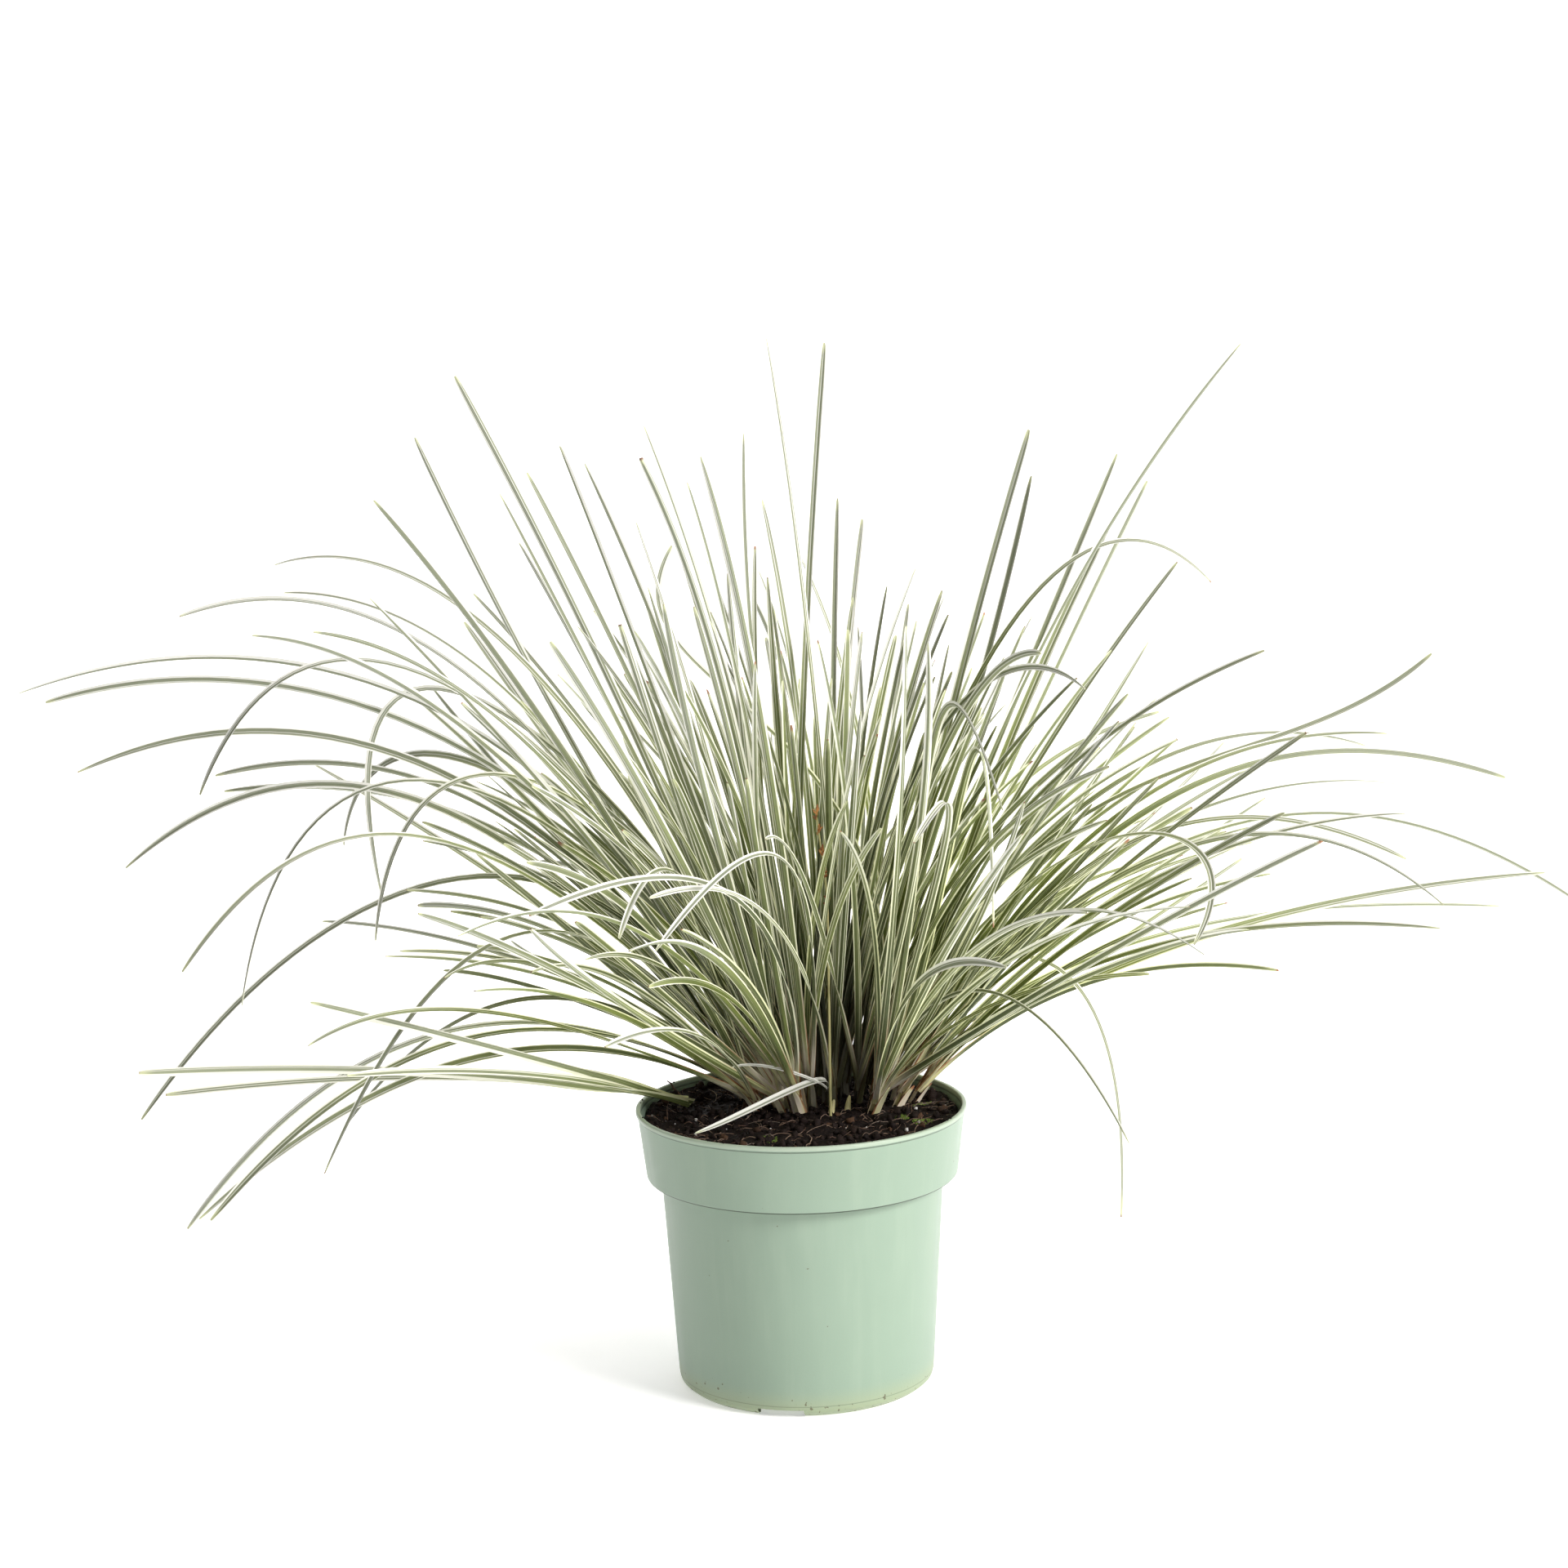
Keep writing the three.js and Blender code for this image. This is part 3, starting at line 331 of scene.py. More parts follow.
def plain_sections(leaf):
    """The part's own sections of a leaf: centres, half sides and half faces."""
    bend = route_bend(leaf.points)
    count = 3 + sum(bend > limit for limit in LEAF.bends)
    shares = np.append(LEAF.last_ring * np.arange(count) / (count - 1), 1.0)
    centres, sides, faces, _ = leaf_frames(leaf, shares)
    rise = LEAF.foot_share + (1 - LEAF.foot_share) * np.minimum(1, shares / LEAF.foot_length)
    half_widths = leaf.width / 2 * rise * np.sqrt(np.maximum(0, 1 - shares**4))
    half_thicknesses = np.full(count + 1, LEAF.thickness / 2)
    half_thicknesses[-1] = 0
    return centres, sides * half_widths[:, None], faces * half_thicknesses[:, None]


# A stretch between two sections: its ends, where it is free of its own fan, how far it reaches
# out, the number of its fan and whether it is a sheath
VECTORS = ("start", "start_side", "start_face", "end", "end_side", "end_face", "free")
STRETCH = np.dtype(
    [(name, float, 3) for name in VECTORS] + [("reach", float), ("fan", int), ("sheath", bool)],
    align=True,
)


def stretches(fan_number, centres, sides, faces, reach, sheath=False):
    """The stretches between sections, whose side and face may be one for all."""
    rows = np.zeros(len(centres) - 1, STRETCH)
    for name, vectors in (("", centres), ("_side", sides), ("_face", faces)):
        vectors = np.broadcast_to(vectors, (len(centres), 3))
        rows["start" + name] = vectors[:-1]
        rows["end" + name] = vectors[1:]
    rows["free"] = rows["start"]
    rows["reach"] = reach
    rows["fan"] = fan_number
    rows["sheath"] = sheath
    return rows


def shortest_ways(a, b, c, d):
    """The shortest ways from the stretch a to b to each of the stretches c to d."""
    first = b - a
    second = d - c
    offset = a - c
    first_square = first @ first
    second_square = (second * second).sum(axis=1)
    product = second @ first
    first_offset = offset @ first
    second_offset = (second * offset).sum(axis=1)
    spread = first_square * second_square - product * product
    parted = spread > 1e-9
    s = np.zeros(len(c))
    s[parted] = np.clip(
        (product * second_offset - first_offset * second_square)[parted] / spread[parted], 0, 1
    )
    t = np.clip((product * s + second_offset) / second_square, 0, 1)
    s = np.clip((product * t - first_offset) / first_square, 0, 1)
    return c + second * t[:, None] - a - first * s[:, None]


def extent(rows, headings):
    """How far stretches reach out along headings at the wider of their ends."""
    start, end = (
        np.abs((rows[name + "_side"] * headings).sum(axis=-1))
        + np.abs((rows[name + "_face"] * headings).sum(axis=-1))
        for name in ("start", "end")
    )
    return np.maximum(start, end)


def clears_pot(centres, leaf):
    """Over the soil and the pot's rim a leaf passes with room to spare."""
    clearance = rule(leaf.area, "clearance", CLEARANCE.pot)
    for k in range(len(centres) - 1):
        for i in range(1 if k == 0 else 0, CLEARANCE.steps + 1):
            point = centres[k] + (centres[k + 1] - centres[k]) * (i / CLEARANCE.steps)
            radius = math.hypot(point[0], point[1])
            floor = POT.height
            if radius < CLEARANCE.soil_radius:
                floor = SOIL.top + CLEARANCE.soil_rise
            if radius < CLEARANCE.rim_radius and point[2] < floor + clearance:
                return False
    return True


class Standing:
    """All that stands, which a new leaf keeps clear of."""

    def __init__(self):
        self.rows = np.zeros(0, STRETCH)

    def add(self, rows):
        self.rows = np.concatenate([self.rows, rows])

    def clear_of(self, stretch, sisters):
        """Whether one stretch is clear of the stretches of its own fan, or of all the others."""
        own = self.rows["fan"] == stretch["fan"]
        others = self.rows[own & ~self.rows["sheath"] if sisters else ~own]
        start = "free" if sisters else "start"
        ways = shortest_ways(stretch[start], stretch["end"], others[start], others["end"])
        distances = np.linalg.norm(ways, axis=1)
        near = ~(distances > stretch["reach"] + others["reach"] + LEAF.gap)
        distances, others = distances[near], others[near]
        if (distances < LEAF.gap).any():
            return False
        headings = ways[near] / distances[:, None]
        half = extent(stretch, headings) + extent(others, headings)
        return bool((distances > half + LEAF.gap).all())

    def place_leaf(self, make_leaf, tries):
        """Places the first leaf that make_leaf gives which is clear of the pot and of all else."""
        for _ in range(tries):
            fan, leaf = make_leaf()
            if leaf is None:
                continue
            centres, sides, faces = plain_sections(leaf)
            if not clears_pot(centres, leaf):
                continue
            sizes = np.linalg.norm(sides, axis=1) + np.linalg.norm(faces, axis=1)
            rows = stretches(fan.number, centres, sides, faces, np.maximum(sizes[:-1], sizes[1:]))
            first = centres[1] - centres[0]
            rows["free"][0] = centres[0] + first * (LEAF.fused / np.linalg.norm(first))
            if all(self.clear_of(row, True) and self.clear_of(row, False) for row in rows):
                self.add(rows)
                fan.leaves.append(leaf)
                return True
        return False


def leaf_foot(fan, target):
    """Where a leaf that heads for a point leaves its fan, sunk well in the sheath."""
    out = (target - fan.root) * (1, 1, 0)
    slip = LEAF.slip * (unit(out) @ fan.line) + sway(LEAF.slip_jitter)
    foot = fan.root + fan.axis * SHEATH.length * LEAF.foot_rise
    return foot + fan.line * slip + fan.across * sway(LEAF.across_jitter)


def dress_leaf(points, area):
    """A leaf on a route, with its own width, its twist near the foot and its slow twirl."""
    return Record(
        points=points,
        area=area,
        width=LEAF.width * draw(*LEAF.width_range),
        twist=sway(LEAF.twist),
        twirl=sway(LEAF.twirl),
        tone=draw(),
    )


def read_leaf(fans, area, row):
    """A leaf that follows one row of an area, from a fan near the place that the row names."""
    seen = list(zip(row[1::2], row[2::2]))
    flat_length = 0.0
    for (x0, z0), (x1, z1) in zip([(row[0], SOIL.top), *seen], seen):
        flat_length += math.hypot(x1 - x0, z1 - z0)
    sign = -1 if rule(area, "front", False) or draw() < 0.5 else 1
    length = rule(area, "length", LEAF.length) * draw(*READING.length)
    depth = math.sqrt(max(length**2 - flat_length**2, (READING.least_depth * length) ** 2))
    depth *= draw(*READING.depth)
    tip_depth = rule(area, "tip_depth", CROWN.y + sign * depth)
    wanted_y = CROWN.y + sign * min(CROWN.radius_y, depth / READING.fan_depth)

    def wanted(fan):
        beside = abs(fan.root[0] - row[0]) + READING.behind * abs(fan.root[1] - wanted_y)
        return beside + READING.crowding * len(fan.leaves)

    side_fan = rule(area, "side_fan", False)
    choice = sorted((fan for fan in fans if (fan.reach > 1) == side_fan), key=wanted)
    fan = choice[int(draw(0, min(4, len(choice))))]
    points = []
    for i, (x, z) in enumerate(seen):
        share = (i + 1) / len(seen)
        points.append(on_sight_line((x, 0, z), fan.root[1] + (tip_depth - fan.root[1]) * share))
    points.insert(0, leaf_foot(fan, points[-1]))
    return fan, dress_leaf(points, area)


def filling_leaf(fans):
    """A leaf that fills the clump: it sets out near its fan's own lean and arches over."""
    one, other = (fans[int(draw(0, len(fans) - 1))] for _ in range(2))
    fan = one if len(one.leaves) <= len(other.leaves) else other
    start_azimuth = fan.azimuth + sway(FILLING.spread + FILLING.inner_spread * (1 - fan.reach))
    end_azimuth = start_azimuth + sway(FILLING.turn)
    start_lean = fan.lean * draw(*FILLING.lean) + draw(*FILLING.tilt)
    end_lean = start_lean + draw(*FILLING.arch)
    length = LEAF.length * draw(*FILLING.length)
    start = heading(start_lean, start_azimuth)
    foot = leaf_foot(fan, fan.root + start * length)
    bend_point = foot + start * (length / 2)
    tip = bend_point + heading(end_lean, end_azimuth) * (length / 2)
    middle = (foot + tip) * 0.25 + bend_point * 0.5
    leaf = dress_leaf([foot, middle, tip], "filling")
    return fan, leaf if inside_clump(tip) else None


def inside_clump(tip):
    """Filling leaves end inside the clump's outline as seen from the front."""
    x, _, z = on_sight_line(tip, 0)
    across = (x - CROWN.x) / CLUMP.half_width
    up = (z - SOIL.top) / CLUMP.height
    return across**2 + up**2 < 1 and z > CLUMP.lowest_tip


def shoot_point(shoot):
    return (shoot.x + shoot.point_x, shoot.y + shoot.point_y, SOIL.top + shoot.height)


def grow():
    """The fans with all their leaves."""
    fans = crown_fans()
    standing = Standing()
    for number, fan in enumerate(fans):
        fan.number = number
        ends = (fan.root, fan.root + fan.axis * SHEATH.length)
        side = fan.line * (SHEATH.width / 2)
        face = fan.across * (SHEATH.thickness / 2)
        standing.add(stretches(number, ends, side, face, SHEATH.width, sheath=True))
    uprights = [(SPIKE.stem[:3], SPIKE.radius), (SPIKE.stem[2:], SPIKE.husk_room)]
    for shoot in SHOOTS.values():
        uprights.append(([(shoot.x, shoot.y, SOIL.top), shoot_point(shoot)], SHOOT.radius))
    for points, radius in uprights:
        standing.add(stretches(-1, points, (radius, 0, 0), (0, radius, 0), 2 * radius))
    count = 0
    for area, rows in LEAF_AREAS.items():
        for row in rows:
            count += standing.place_leaf(lambda: read_leaf(fans, area, row), LEAF.tries)
    tries = 0
    while count < LEAF.count and tries < LEAF.filling_tries:
        count += standing.place_leaf(lambda: filling_leaf(fans), 1)
        tries += 1
    return fans


# Meshes


class Skin:
    """Gathers the points and faces of one piece, with values its material reads at each point."""

    def __init__(self):
        self.points = []
        self.faces = []
        self.values = {}
        self.count = 0

    def add(self, points, faces, **values):
        """A body; a value may be given point by point or as one for all."""
        self.points.append(np.asarray(points, float))
        self.faces.extend([[self.count + corner for corner in face] for face in faces])
        for name, rows in values.items():
            rows = np.broadcast_to(np.asarray(rows, float), (len(points), 3))
            self.values.setdefault(name, []).append(rows)
        self.count += len(points)

    def piece(self, name, material, slot, nodes=(), sharp=50):
        """The gathered skin as one piece that rides on the part."""
        mesh = bpy.data.meshes.new(name)
        mesh.from_pydata((np.concatenate(self.points) * MM).tolist(), [], self.faces)
        for value_name, rows in self.values.items():
            attribute = mesh.attributes.new(value_name, "FLOAT_VECTOR", "POINT")
            attribute.data.foreach_set("vector", np.concatenate(rows).ravel())
        mesh.update()
        finish_piece(name, mesh, material, nodes, sharp)


def new_object(name, data):
    thing = bpy.data.objects.new(name, data)
    bpy.context.scene.collection.objects.link(thing)
    return thing


def finish_piece(name, mesh, material, nodes, sharp):
    """A mesh as a smooth piece, sharp from so many degrees, which stands for its nodes."""
    piece = new_object(name, mesh)
    mesh.shade_smooth()
    mesh.set_sharp_from_angle(angle=math.radians(sharp))
    mesh.materials.append(material)
    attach(piece, "root")
    if nodes:
        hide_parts(*nodes)


def ring_faces(rings, size):
    """Faces that join rings of points, each of one size, in order."""
    faces = []
    for k in range(rings - 1):
        for i in range(size):
            a = k * size + i
            b = k * size + (i + 1) % size
            faces.append((a, b, b + size, a + size))
    return faces


def closed_rings(rings, size):
    """Faces that join rings of points and close the first and the last."""
    last = (rings - 1) * size
    ends = [tuple(range(size))[::-1], tuple(range(last, last + size))]
    return ring_faces(rings, size) + ends


def tube(points, radii, sides):
    """A closed round tube along points, with pointed ends where its radius is small."""
    points = np.asarray(points, float)
    radii = np.broadcast_to(np.asarray(radii, float), (len(points),))
    runs = units(np.gradient(points, axis=0))
    side = np.cross(runs[0], UP if abs(runs[0][2]) < 0.9 else (1.0, 0.0, 0.0))
    rings = []
    angles = 2 * math.pi * np.arange(sides) / sides
    for point, run, radius in zip(points, runs, radii):
        side = unit(side - (side @ run) * run)
        ring = np.cos(angles)[:, None] * side + np.sin(angles)[:, None] * np.cross(run, side)
        rings.append(point + radius * ring)
    return np.concatenate(rings), closed_rings(len(points), sides)


# Leaves

# A blade's stations, closer towards the tip, and its skin and keel, both stronger in its base,
# the width of its base and how far up it goes, and how its tip's edge curves in
BLADE = Record(
    stations=40, crowding=1.5, last_station=0.997, thickness=0.5, base_thickening=0.8, keel=0.5,
    base_keel=0.4, strong_base=0.1, base=(1.1, 0.12), slimmest_tip=5, bluntest_tip=45,
)
# Places across a blade: round its upper skin from margin to margin, then back along its lower one
ACROSS = np.array([-1, -0.55, 0, 0.55, 1, 0.55, 0, -0.55])
UPPER = np.array([0.5, 1, 1, 1, 0.5, 0, 0, 0])
# How far the fold along the keel lifts each of them
FOLD = np.abs(ACROSS) ** 1.2 - 0.5
# The leaf material counts lengths in decimetres
DECIMETRES = 0.01
# A leaf takes its turn between these shares of its length. One that isn't turned flat turns away
# from the viewpoint by so much at most, judged at this share of its length.
TURN = Record(start=0.06, end=0.3, farthest=math.radians(52), judged_at=0.62)


def blade(centres, sides, faces, half_widths, thicknesses, keels):
    """Points and faces of a closed blade, folded along its keel, that ends in a point."""
    lift = keels[:, None] * half_widths[:, None] * FOLD
    skin = (UPPER * 2 - 1) * thicknesses[:, None] / 2 * (1 - ACROSS**2)
    points = (
        centres[:, None]
        + sides[:, None] * (half_widths[:, None] * ACROSS)[:, :, None]
        + faces[:, None] * (lift + skin)[:, :, None]
    )
    return points.reshape(-1, 3), closed_rings(len(centres), len(ACROSS))


def leaf_looks(leaf, shares, length):
    """What the leaf material reads at each point of a blade."""
    size = len(ACROSS)
    rows = len(shares) * size
    across = np.tile(ACROSS, len(shares))
    share = np.repeat(shares, size)
    upper = np.tile(UPPER, len(shares))
    place = np.stack([across, np.full(rows, leaf.tone), upper], axis=1)
    from_foot = share * length + leaf.past_sheath
    along = np.stack([from_foot, (1 - share) * length, np.zeros(rows)], axis=1) * DECIMETRES
    return {"place": place, "along": along, "kind": (leaf.hue, leaf.cream, leaf.dry)}


def turn_taken(shares):
    """How much of its turn a leaf has taken at shares of its length."""
    return np.clip((shares - TURN.start) / (TURN.end - TURN.start), 0, 1)[:, None]


def turned_flat(centres, faces, shares, facing):
    """Sides and faces of a leaf that turns its flat side to face a direction."""
    runs = units(np.gradient(centres, axis=0))
    middle = faces[len(faces) // 2]
    wanted = np.array(facing) * (1 if middle @ facing > 0 else -1)
    turn = turn_taken(shares)
    faces = faces * (1 - turn) + wanted * turn
    faces = units(faces - np.sum(faces * runs, axis=1)[:, None] * runs)
    return np.cross(runs, faces), faces


def turned_to_view(centres, sides, faces, shares):
    """Sides and faces of a leaf that isn't seen edge on where it shows most."""
    middle = int(np.searchsorted(shares, TURN.judged_at))
    view = unit(VIEWPOINT - centres[middle])
    away = math.atan2(sides[middle] @ view, faces[middle] @ view)
    folded = (away + math.pi / 2) % math.pi - math.pi / 2
    spare = max(-TURN.farthest, min(TURN.farthest, folded)) - folded
    turn = spare * turn_taken(shares)
    turned_sides = sides * np.cos(turn) + faces * np.sin(turn)
    return turned_sides, faces * np.cos(turn) - sides * np.sin(turn)


def add_leaf(skin, leaf):
    places = np.linspace(0, 1, BLADE.stations)
    shares = BLADE.last_station * (1 - (1 - places) ** BLADE.crowding)
    centres, sides, faces, flats = leaf_frames(leaf, shares)
    facing = rule(leaf.area, "facing", None)
    if facing:
        sides, faces = turned_flat(centres, faces, shares, facing)
    else:
        sides, faces = turned_to_view(centres, sides, faces, shares)
    # the hollow side looks up where the leaf arches over
    if flats[len(flats) // 2][2] < 0:
        sides, faces = -sides, -faces
    base_share, base_length = rule(leaf.area, "base", BLADE.base)
    rise = base_share + (1 - base_share) * np.minimum(1, shares / base_length)
    bluntness = BLADE.slimmest_tip + (BLADE.bluntest_tip - BLADE.slimmest_tip) * leaf.blunt
    width = leaf.width * rule(leaf.area, "width", 1)
    half_widths = width / 2 * rise * np.sqrt(1 - shares**bluntness)
    strength = np.maximum(0, 1 - shares / BLADE.strong_base)
    thicknesses = BLADE.thickness * (1 + BLADE.base_thickening * strength)
    keels = BLADE.keel + BLADE.base_keel * strength
    length = float(np.linalg.norm(np.diff(centres, axis=0), axis=1).sum())
    points, corners = blade(centres, sides, faces, half_widths, thicknesses, keels)
    skin.add(points, corners, **leaf_looks(leaf, shares, length))


# Old leaf bases, one on each side of a fan: where their feet are, how they lean, how they narrow
# and flatten towards their end and how dry they are
SCALES = Record(
    stations=12, last_station=0.98, depth=5, out=1.5, slip=1.6, length=(12, 24), lean=0.16,
    outward=(0.02, 0.16), bulge=0.8, width=7.6, width_range=(0.72, 1.08), narrowing=0.3, tip_power=3,
    thickness=0.55, keel=0.55, flattening=0.5, cream=(0.7, 1), dry=(0, 0.45),
)


def add_scale(skin, fan, turn):
    """An old leaf base that wraps one side of a fan, dry and papery at its end."""
    slip = fan.line * sway(SCALES.slip)
    foot = fan.root - UP * SCALES.depth + fan.across * turn * SCALES.out + slip
    reach = draw(*SCALES.length)
    lean = fan.axis + fan.line * sway(SCALES.lean) + fan.across * turn * draw(*SCALES.outward)
    tip = foot + UP * SCALES.depth + unit(lean) * reach
    middle = (foot + tip) / 2 + UP * SCALES.bulge + fan.axis * SCALES.bulge
    shares = np.linspace(0, SCALES.last_station, SCALES.stations)
    centres = route([foot, middle, tip], shares)
    runs = directions([foot, middle, tip], shares)
    sides = units(np.cross(runs, -fan.across * turn))
    half_widths = SCALES.width * draw(*SCALES.width_range) / 2 * (1 - SCALES.narrowing * shares)
    half_widths *= np.sqrt(1 - shares**SCALES.tip_power)
    thicknesses = np.full(len(shares), SCALES.thickness)
    keels = SCALES.keel * (1 - SCALES.flattening * shares)
    points, corners = blade(centres, sides, np.cross(sides, runs), half_widths, thicknesses, keels)
    old = Record(
        tone=draw(), hue=draw(), cream=draw(*SCALES.cream), dry=draw(*SCALES.dry), past_sheath=0
    )
    skin.add(points, corners, **leaf_looks(old, shares, reach + SCALES.depth))


# How yellow-green a leaf is by the place of its tip, and how cream, both with a part of its own
HUE = Record(middle=0.42, height=250, across=1500, up=900, own=0.6)
CREAM = Record(least=0.12, own=0.5, rarity=1.5)


def colour_leaf(leaf):
    """A leaf's own colours: towards yellow-green at the right and low down, greyer up on the left."""

    def own(factor):
        """A number from 0 to 1 of the leaf's own."""
        return leaf.tone * factor % 1

    x, _, z = leaf.points[-1]
    hue = HUE.middle + x / HUE.across - (z - HUE.height) / HUE.up + HUE.own * (own(7.13) - 0.5)
    leaf.hue = rule(leaf.area, "hue", clamp(hue))
    leaf.cream = rule(leaf.area, "cream", CREAM.least + CREAM.own * own(3.71) ** CREAM.rarity)
    leaf.dry = 0.0
    leaf.past_sheath = rule(leaf.area, "past_sheath", 0)
    leaf.blunt = rule(leaf.area, "blunt", own(5.39))


# A small leaf beside the one over the rim: the points it is seen to pass and how each comes nearer
SISTER = Record(seen=[(5, 158), (-17, 165), (-36.4, 164)], nearer=8, width=0.5)


def sister_leaf(leaf):
    """A small leaf from the same foot, which stays above the soil."""
    points = [leaf.points[0]]
    for i, (x, z) in enumerate(SISTER.seen):
        points.append(on_sight_line((x, 0, z), leaf.points[1][1] - SISTER.nearer * i))
    return Record(**{**vars(leaf), "points": points, "width": leaf.width * SISTER.width})


def make_tufts(fans, material):
    for i, fan in enumerate(fans):
        skin = Skin()
        for leaf in fan.leaves:
            colour_leaf(leaf)
            add_leaf(skin, leaf)
            if leaf.area == "over_rim":
                add_leaf(skin, sister_leaf(leaf))
        if fan.reach <= 1:
            for turn in (-1, 1):
                add_scale(skin, fan, turn)
        name = f"{i + 1:02d}"
        skin.piece(f"leaves_{name}", material, "leaf", [f"leaf_tuft_{name}"], 30)


# Flower spike and young shoots

# The stem's rings, how often its line is smoothed, how much it thins and the bracts of each husk
STEM = Record(rings=36, sides=8, smoothings=6, thinning=0.45, bracts=14)
# A bract: how it leans and turns up, how far from the husk's middle it starts, in husk radii, how
# long it is, likewise, and its radius, which swells along a part of a sine's arch
BRACT = Record(
    lean=(0.1, 1.2), upturn=0.5, spread=1.08, length=(0.75, 1.25), rings=6, sides=5, radius=0.48,
    arch=(0.12, 0.84), least_radius=0.05,
)
# A shoot: from which share of its height it bends and from which it narrows, and its point
SHOOT_FORM = Record(
    rings=15, sides=16, bend_from=0.4, bend_power=1.4, taper_from=0.35, taper_length=0.66,
    taper_power=1.7, point_radius=0.04,
)


def make_spike(material):
    stem = np.array(SPIKE.stem, float)
    places = np.linspace(0, 1, STEM.rings)
    heights = stem[0][2] + (stem[-1][2] - stem[0][2]) * places
    x, y = (np.interp(heights, stem[:, 2], stem[:, k]) for k in range(2))
    smooth = np.stack([x, y, heights], axis=1)
    for _ in range(STEM.smoothings):
        smooth[1:-1] = (smooth[:-2] + 2 * smooth[1:-1] + smooth[2:]) / 4
    skin = Skin()
    points, faces = tube(smooth, SPIKE.radius * (1 - STEM.thinning * places), STEM.sides)
    skin.add(points, faces, husk=(0, 0, 0))
    for share, radius in SPIKE.husks:
        centre = np.array([np.interp(share, places, smooth[:, k]) for k in range(3)])
        for _ in range(STEM.bracts):
            add_bract(skin, centre, radius)
    skin.piece("dry_flower_spike", material, "dry_spike", ["flower_spike"])


def add_bract(skin, centre, radius):
    """A small pointed bract of a husk, which stands out from the stem."""
    azimuth = any_angle()
    out = heading(draw(*BRACT.lean), azimuth)
    foot = centre + UP * sway(BRACT.spread) * radius
    length = radius * draw(*BRACT.length)
    shares = np.linspace(0, 1, BRACT.rings)
    points = foot + shares[:, None] * out * length + UP * (shares[:, None] ** 2) * BRACT.upturn
    arch = np.sin(math.pi * (BRACT.arch[0] + BRACT.arch[1] * shares))
    points, faces = tube(points, BRACT.radius * arch + BRACT.least_radius, BRACT.sides)
    skin.add(points, faces, husk=(1, draw(), 0))


def make_shoot(name, shoot, material):
    """A pointed shoot that comes up a little bent, wrapped in its own sheath."""
    foot = np.array([shoot.x, shoot.y, SOIL.top - SHOOT.depth])
    tip = np.array(shoot_point(shoot))
    form = SHOOT_FORM
    shares = np.linspace(0, 1, form.rings)
    bend = np.maximum(0, (shares - form.bend_from) / (1 - form.bend_from)) ** form.bend_power
    points = foot + (tip - foot) * np.stack([bend, bend, shares], axis=1)
    taper = np.maximum(0, (shares - form.taper_from) / form.taper_length) ** form.taper_power
    radii = SHOOT.radius * np.sqrt(np.maximum(0, 1 - taper)) + form.point_radius
    skin = Skin()
    skin.add(*tube(points, radii, form.sides))
    skin.piece(name.replace("young_", "") + "_cone", material, "young_shoot", [name])


# Pot

# How the pot's outline is rounded: the radius, the most that one edge may give to it and its steps
ROUNDING = Record(radius=0.9, share=0.45, steps=6)
POT_SEGMENTS = 192


def rounded(points):
    """An outline whose inner corners are rounded, each by a curve cut back along its two edges."""
    points = np.array(points, float)
    curve = [points[0]]
    for before, corner, after in zip(points, points[1:], points[2:]):
        ends = []
        for edge in (before - corner, after - corner):
            length = math.hypot(*edge)
            ends.append(corner + edge / length * min(ROUNDING.radius, ROUNDING.share * length))
        for t in np.linspace(0, 1, ROUNDING.steps):
            curve.append((1 - t) ** 2 * ends[0] + 2 * t * (1 - t) * corner + t**2 * ends[1])
    curve.append(points[-1])
    return np.array(curve)


def pot_outline():
    """The pot's outline from the middle of its foot, round its rim, to the middle of its floor."""
    wall, foot, skirt = POT.wall, POT.foot_radius, POT.skirt_width
    pad, slope = POT.pad_radius, POT.pad_slope
    floor_top = POT.floor_rise + POT.floor_thickness
    bead_foot = POT.height - POT.bead_height - POT.bead_slope
    under_collar = POT.collar_radius - POT.collar_rounding
    collar_foot = POT.collar_height - POT.collar_rounding
    return [
        (0, 0),
        (pad, 0),
        (pad + slope, POT.floor_rise),
        (foot - skirt - slope / 2, POT.floor_rise),
        (foot - skirt, 0),
        (foot, 0),
        (POT.heel_radius - POT.heel_rounding, POT.heel_height / 2),
        (POT.heel_radius, POT.heel_height),
        (POT.waist_radius, POT.waist_height),
        (under_collar, collar_foot),
        (POT.collar_radius, POT.collar_height),
        (POT.lip_radius, bead_foot),
        (POT.bead_radius, POT.height - POT.bead_height),
        (POT.bead_radius, POT.height),
        (POT.lip_radius - wall, POT.height),
        (POT.lip_radius - wall, bead_foot),
        (POT.collar_radius - wall, POT.collar_height + 1),
        (under_collar - wall, collar_foot + wall),
        (POT.waist_radius - wall, POT.waist_height + wall),
        (POT.heel_radius - wall, POT.heel_height + 1),
        (foot - wall, floor_top),
        (pad - wall / 2, floor_top),
        (pad - wall / 2 - slope, POT.floor_thickness),
        (0, POT.floor_thickness),
    ]


# Where the pot's outline has come in past its rim to the collar
COLLAR_INSIDE = 16


def turned(outline, segments):
    """A closed mesh turned round the pot's axis from an outline that starts and ends on it."""
    angles = 2 * math.pi * np.arange(segments) / segments
    rings = outline[1:-1]
    points = [(*on_circle(radius, angle), height) for radius, height in rings for angle in angles]
    faces = [face[::-1] for face in ring_faces(len(rings), segments)]
    bottom = len(points)
    points.append((0, 0, outline[0][1]))
    points.append((0, 0, outline[-1][1]))
    last = (len(rings) - 1) * segments
    for i in range(segments):
        j = (i + 1) % segments
        faces.append((bottom, j, i))
        faces.append((bottom + 1, last + i, last + j))
    return points, faces


# The cutters: how many sides a drain hole has and how deep it is cut
DRAIN_CUTTER = Record(sides=32, depth=16)


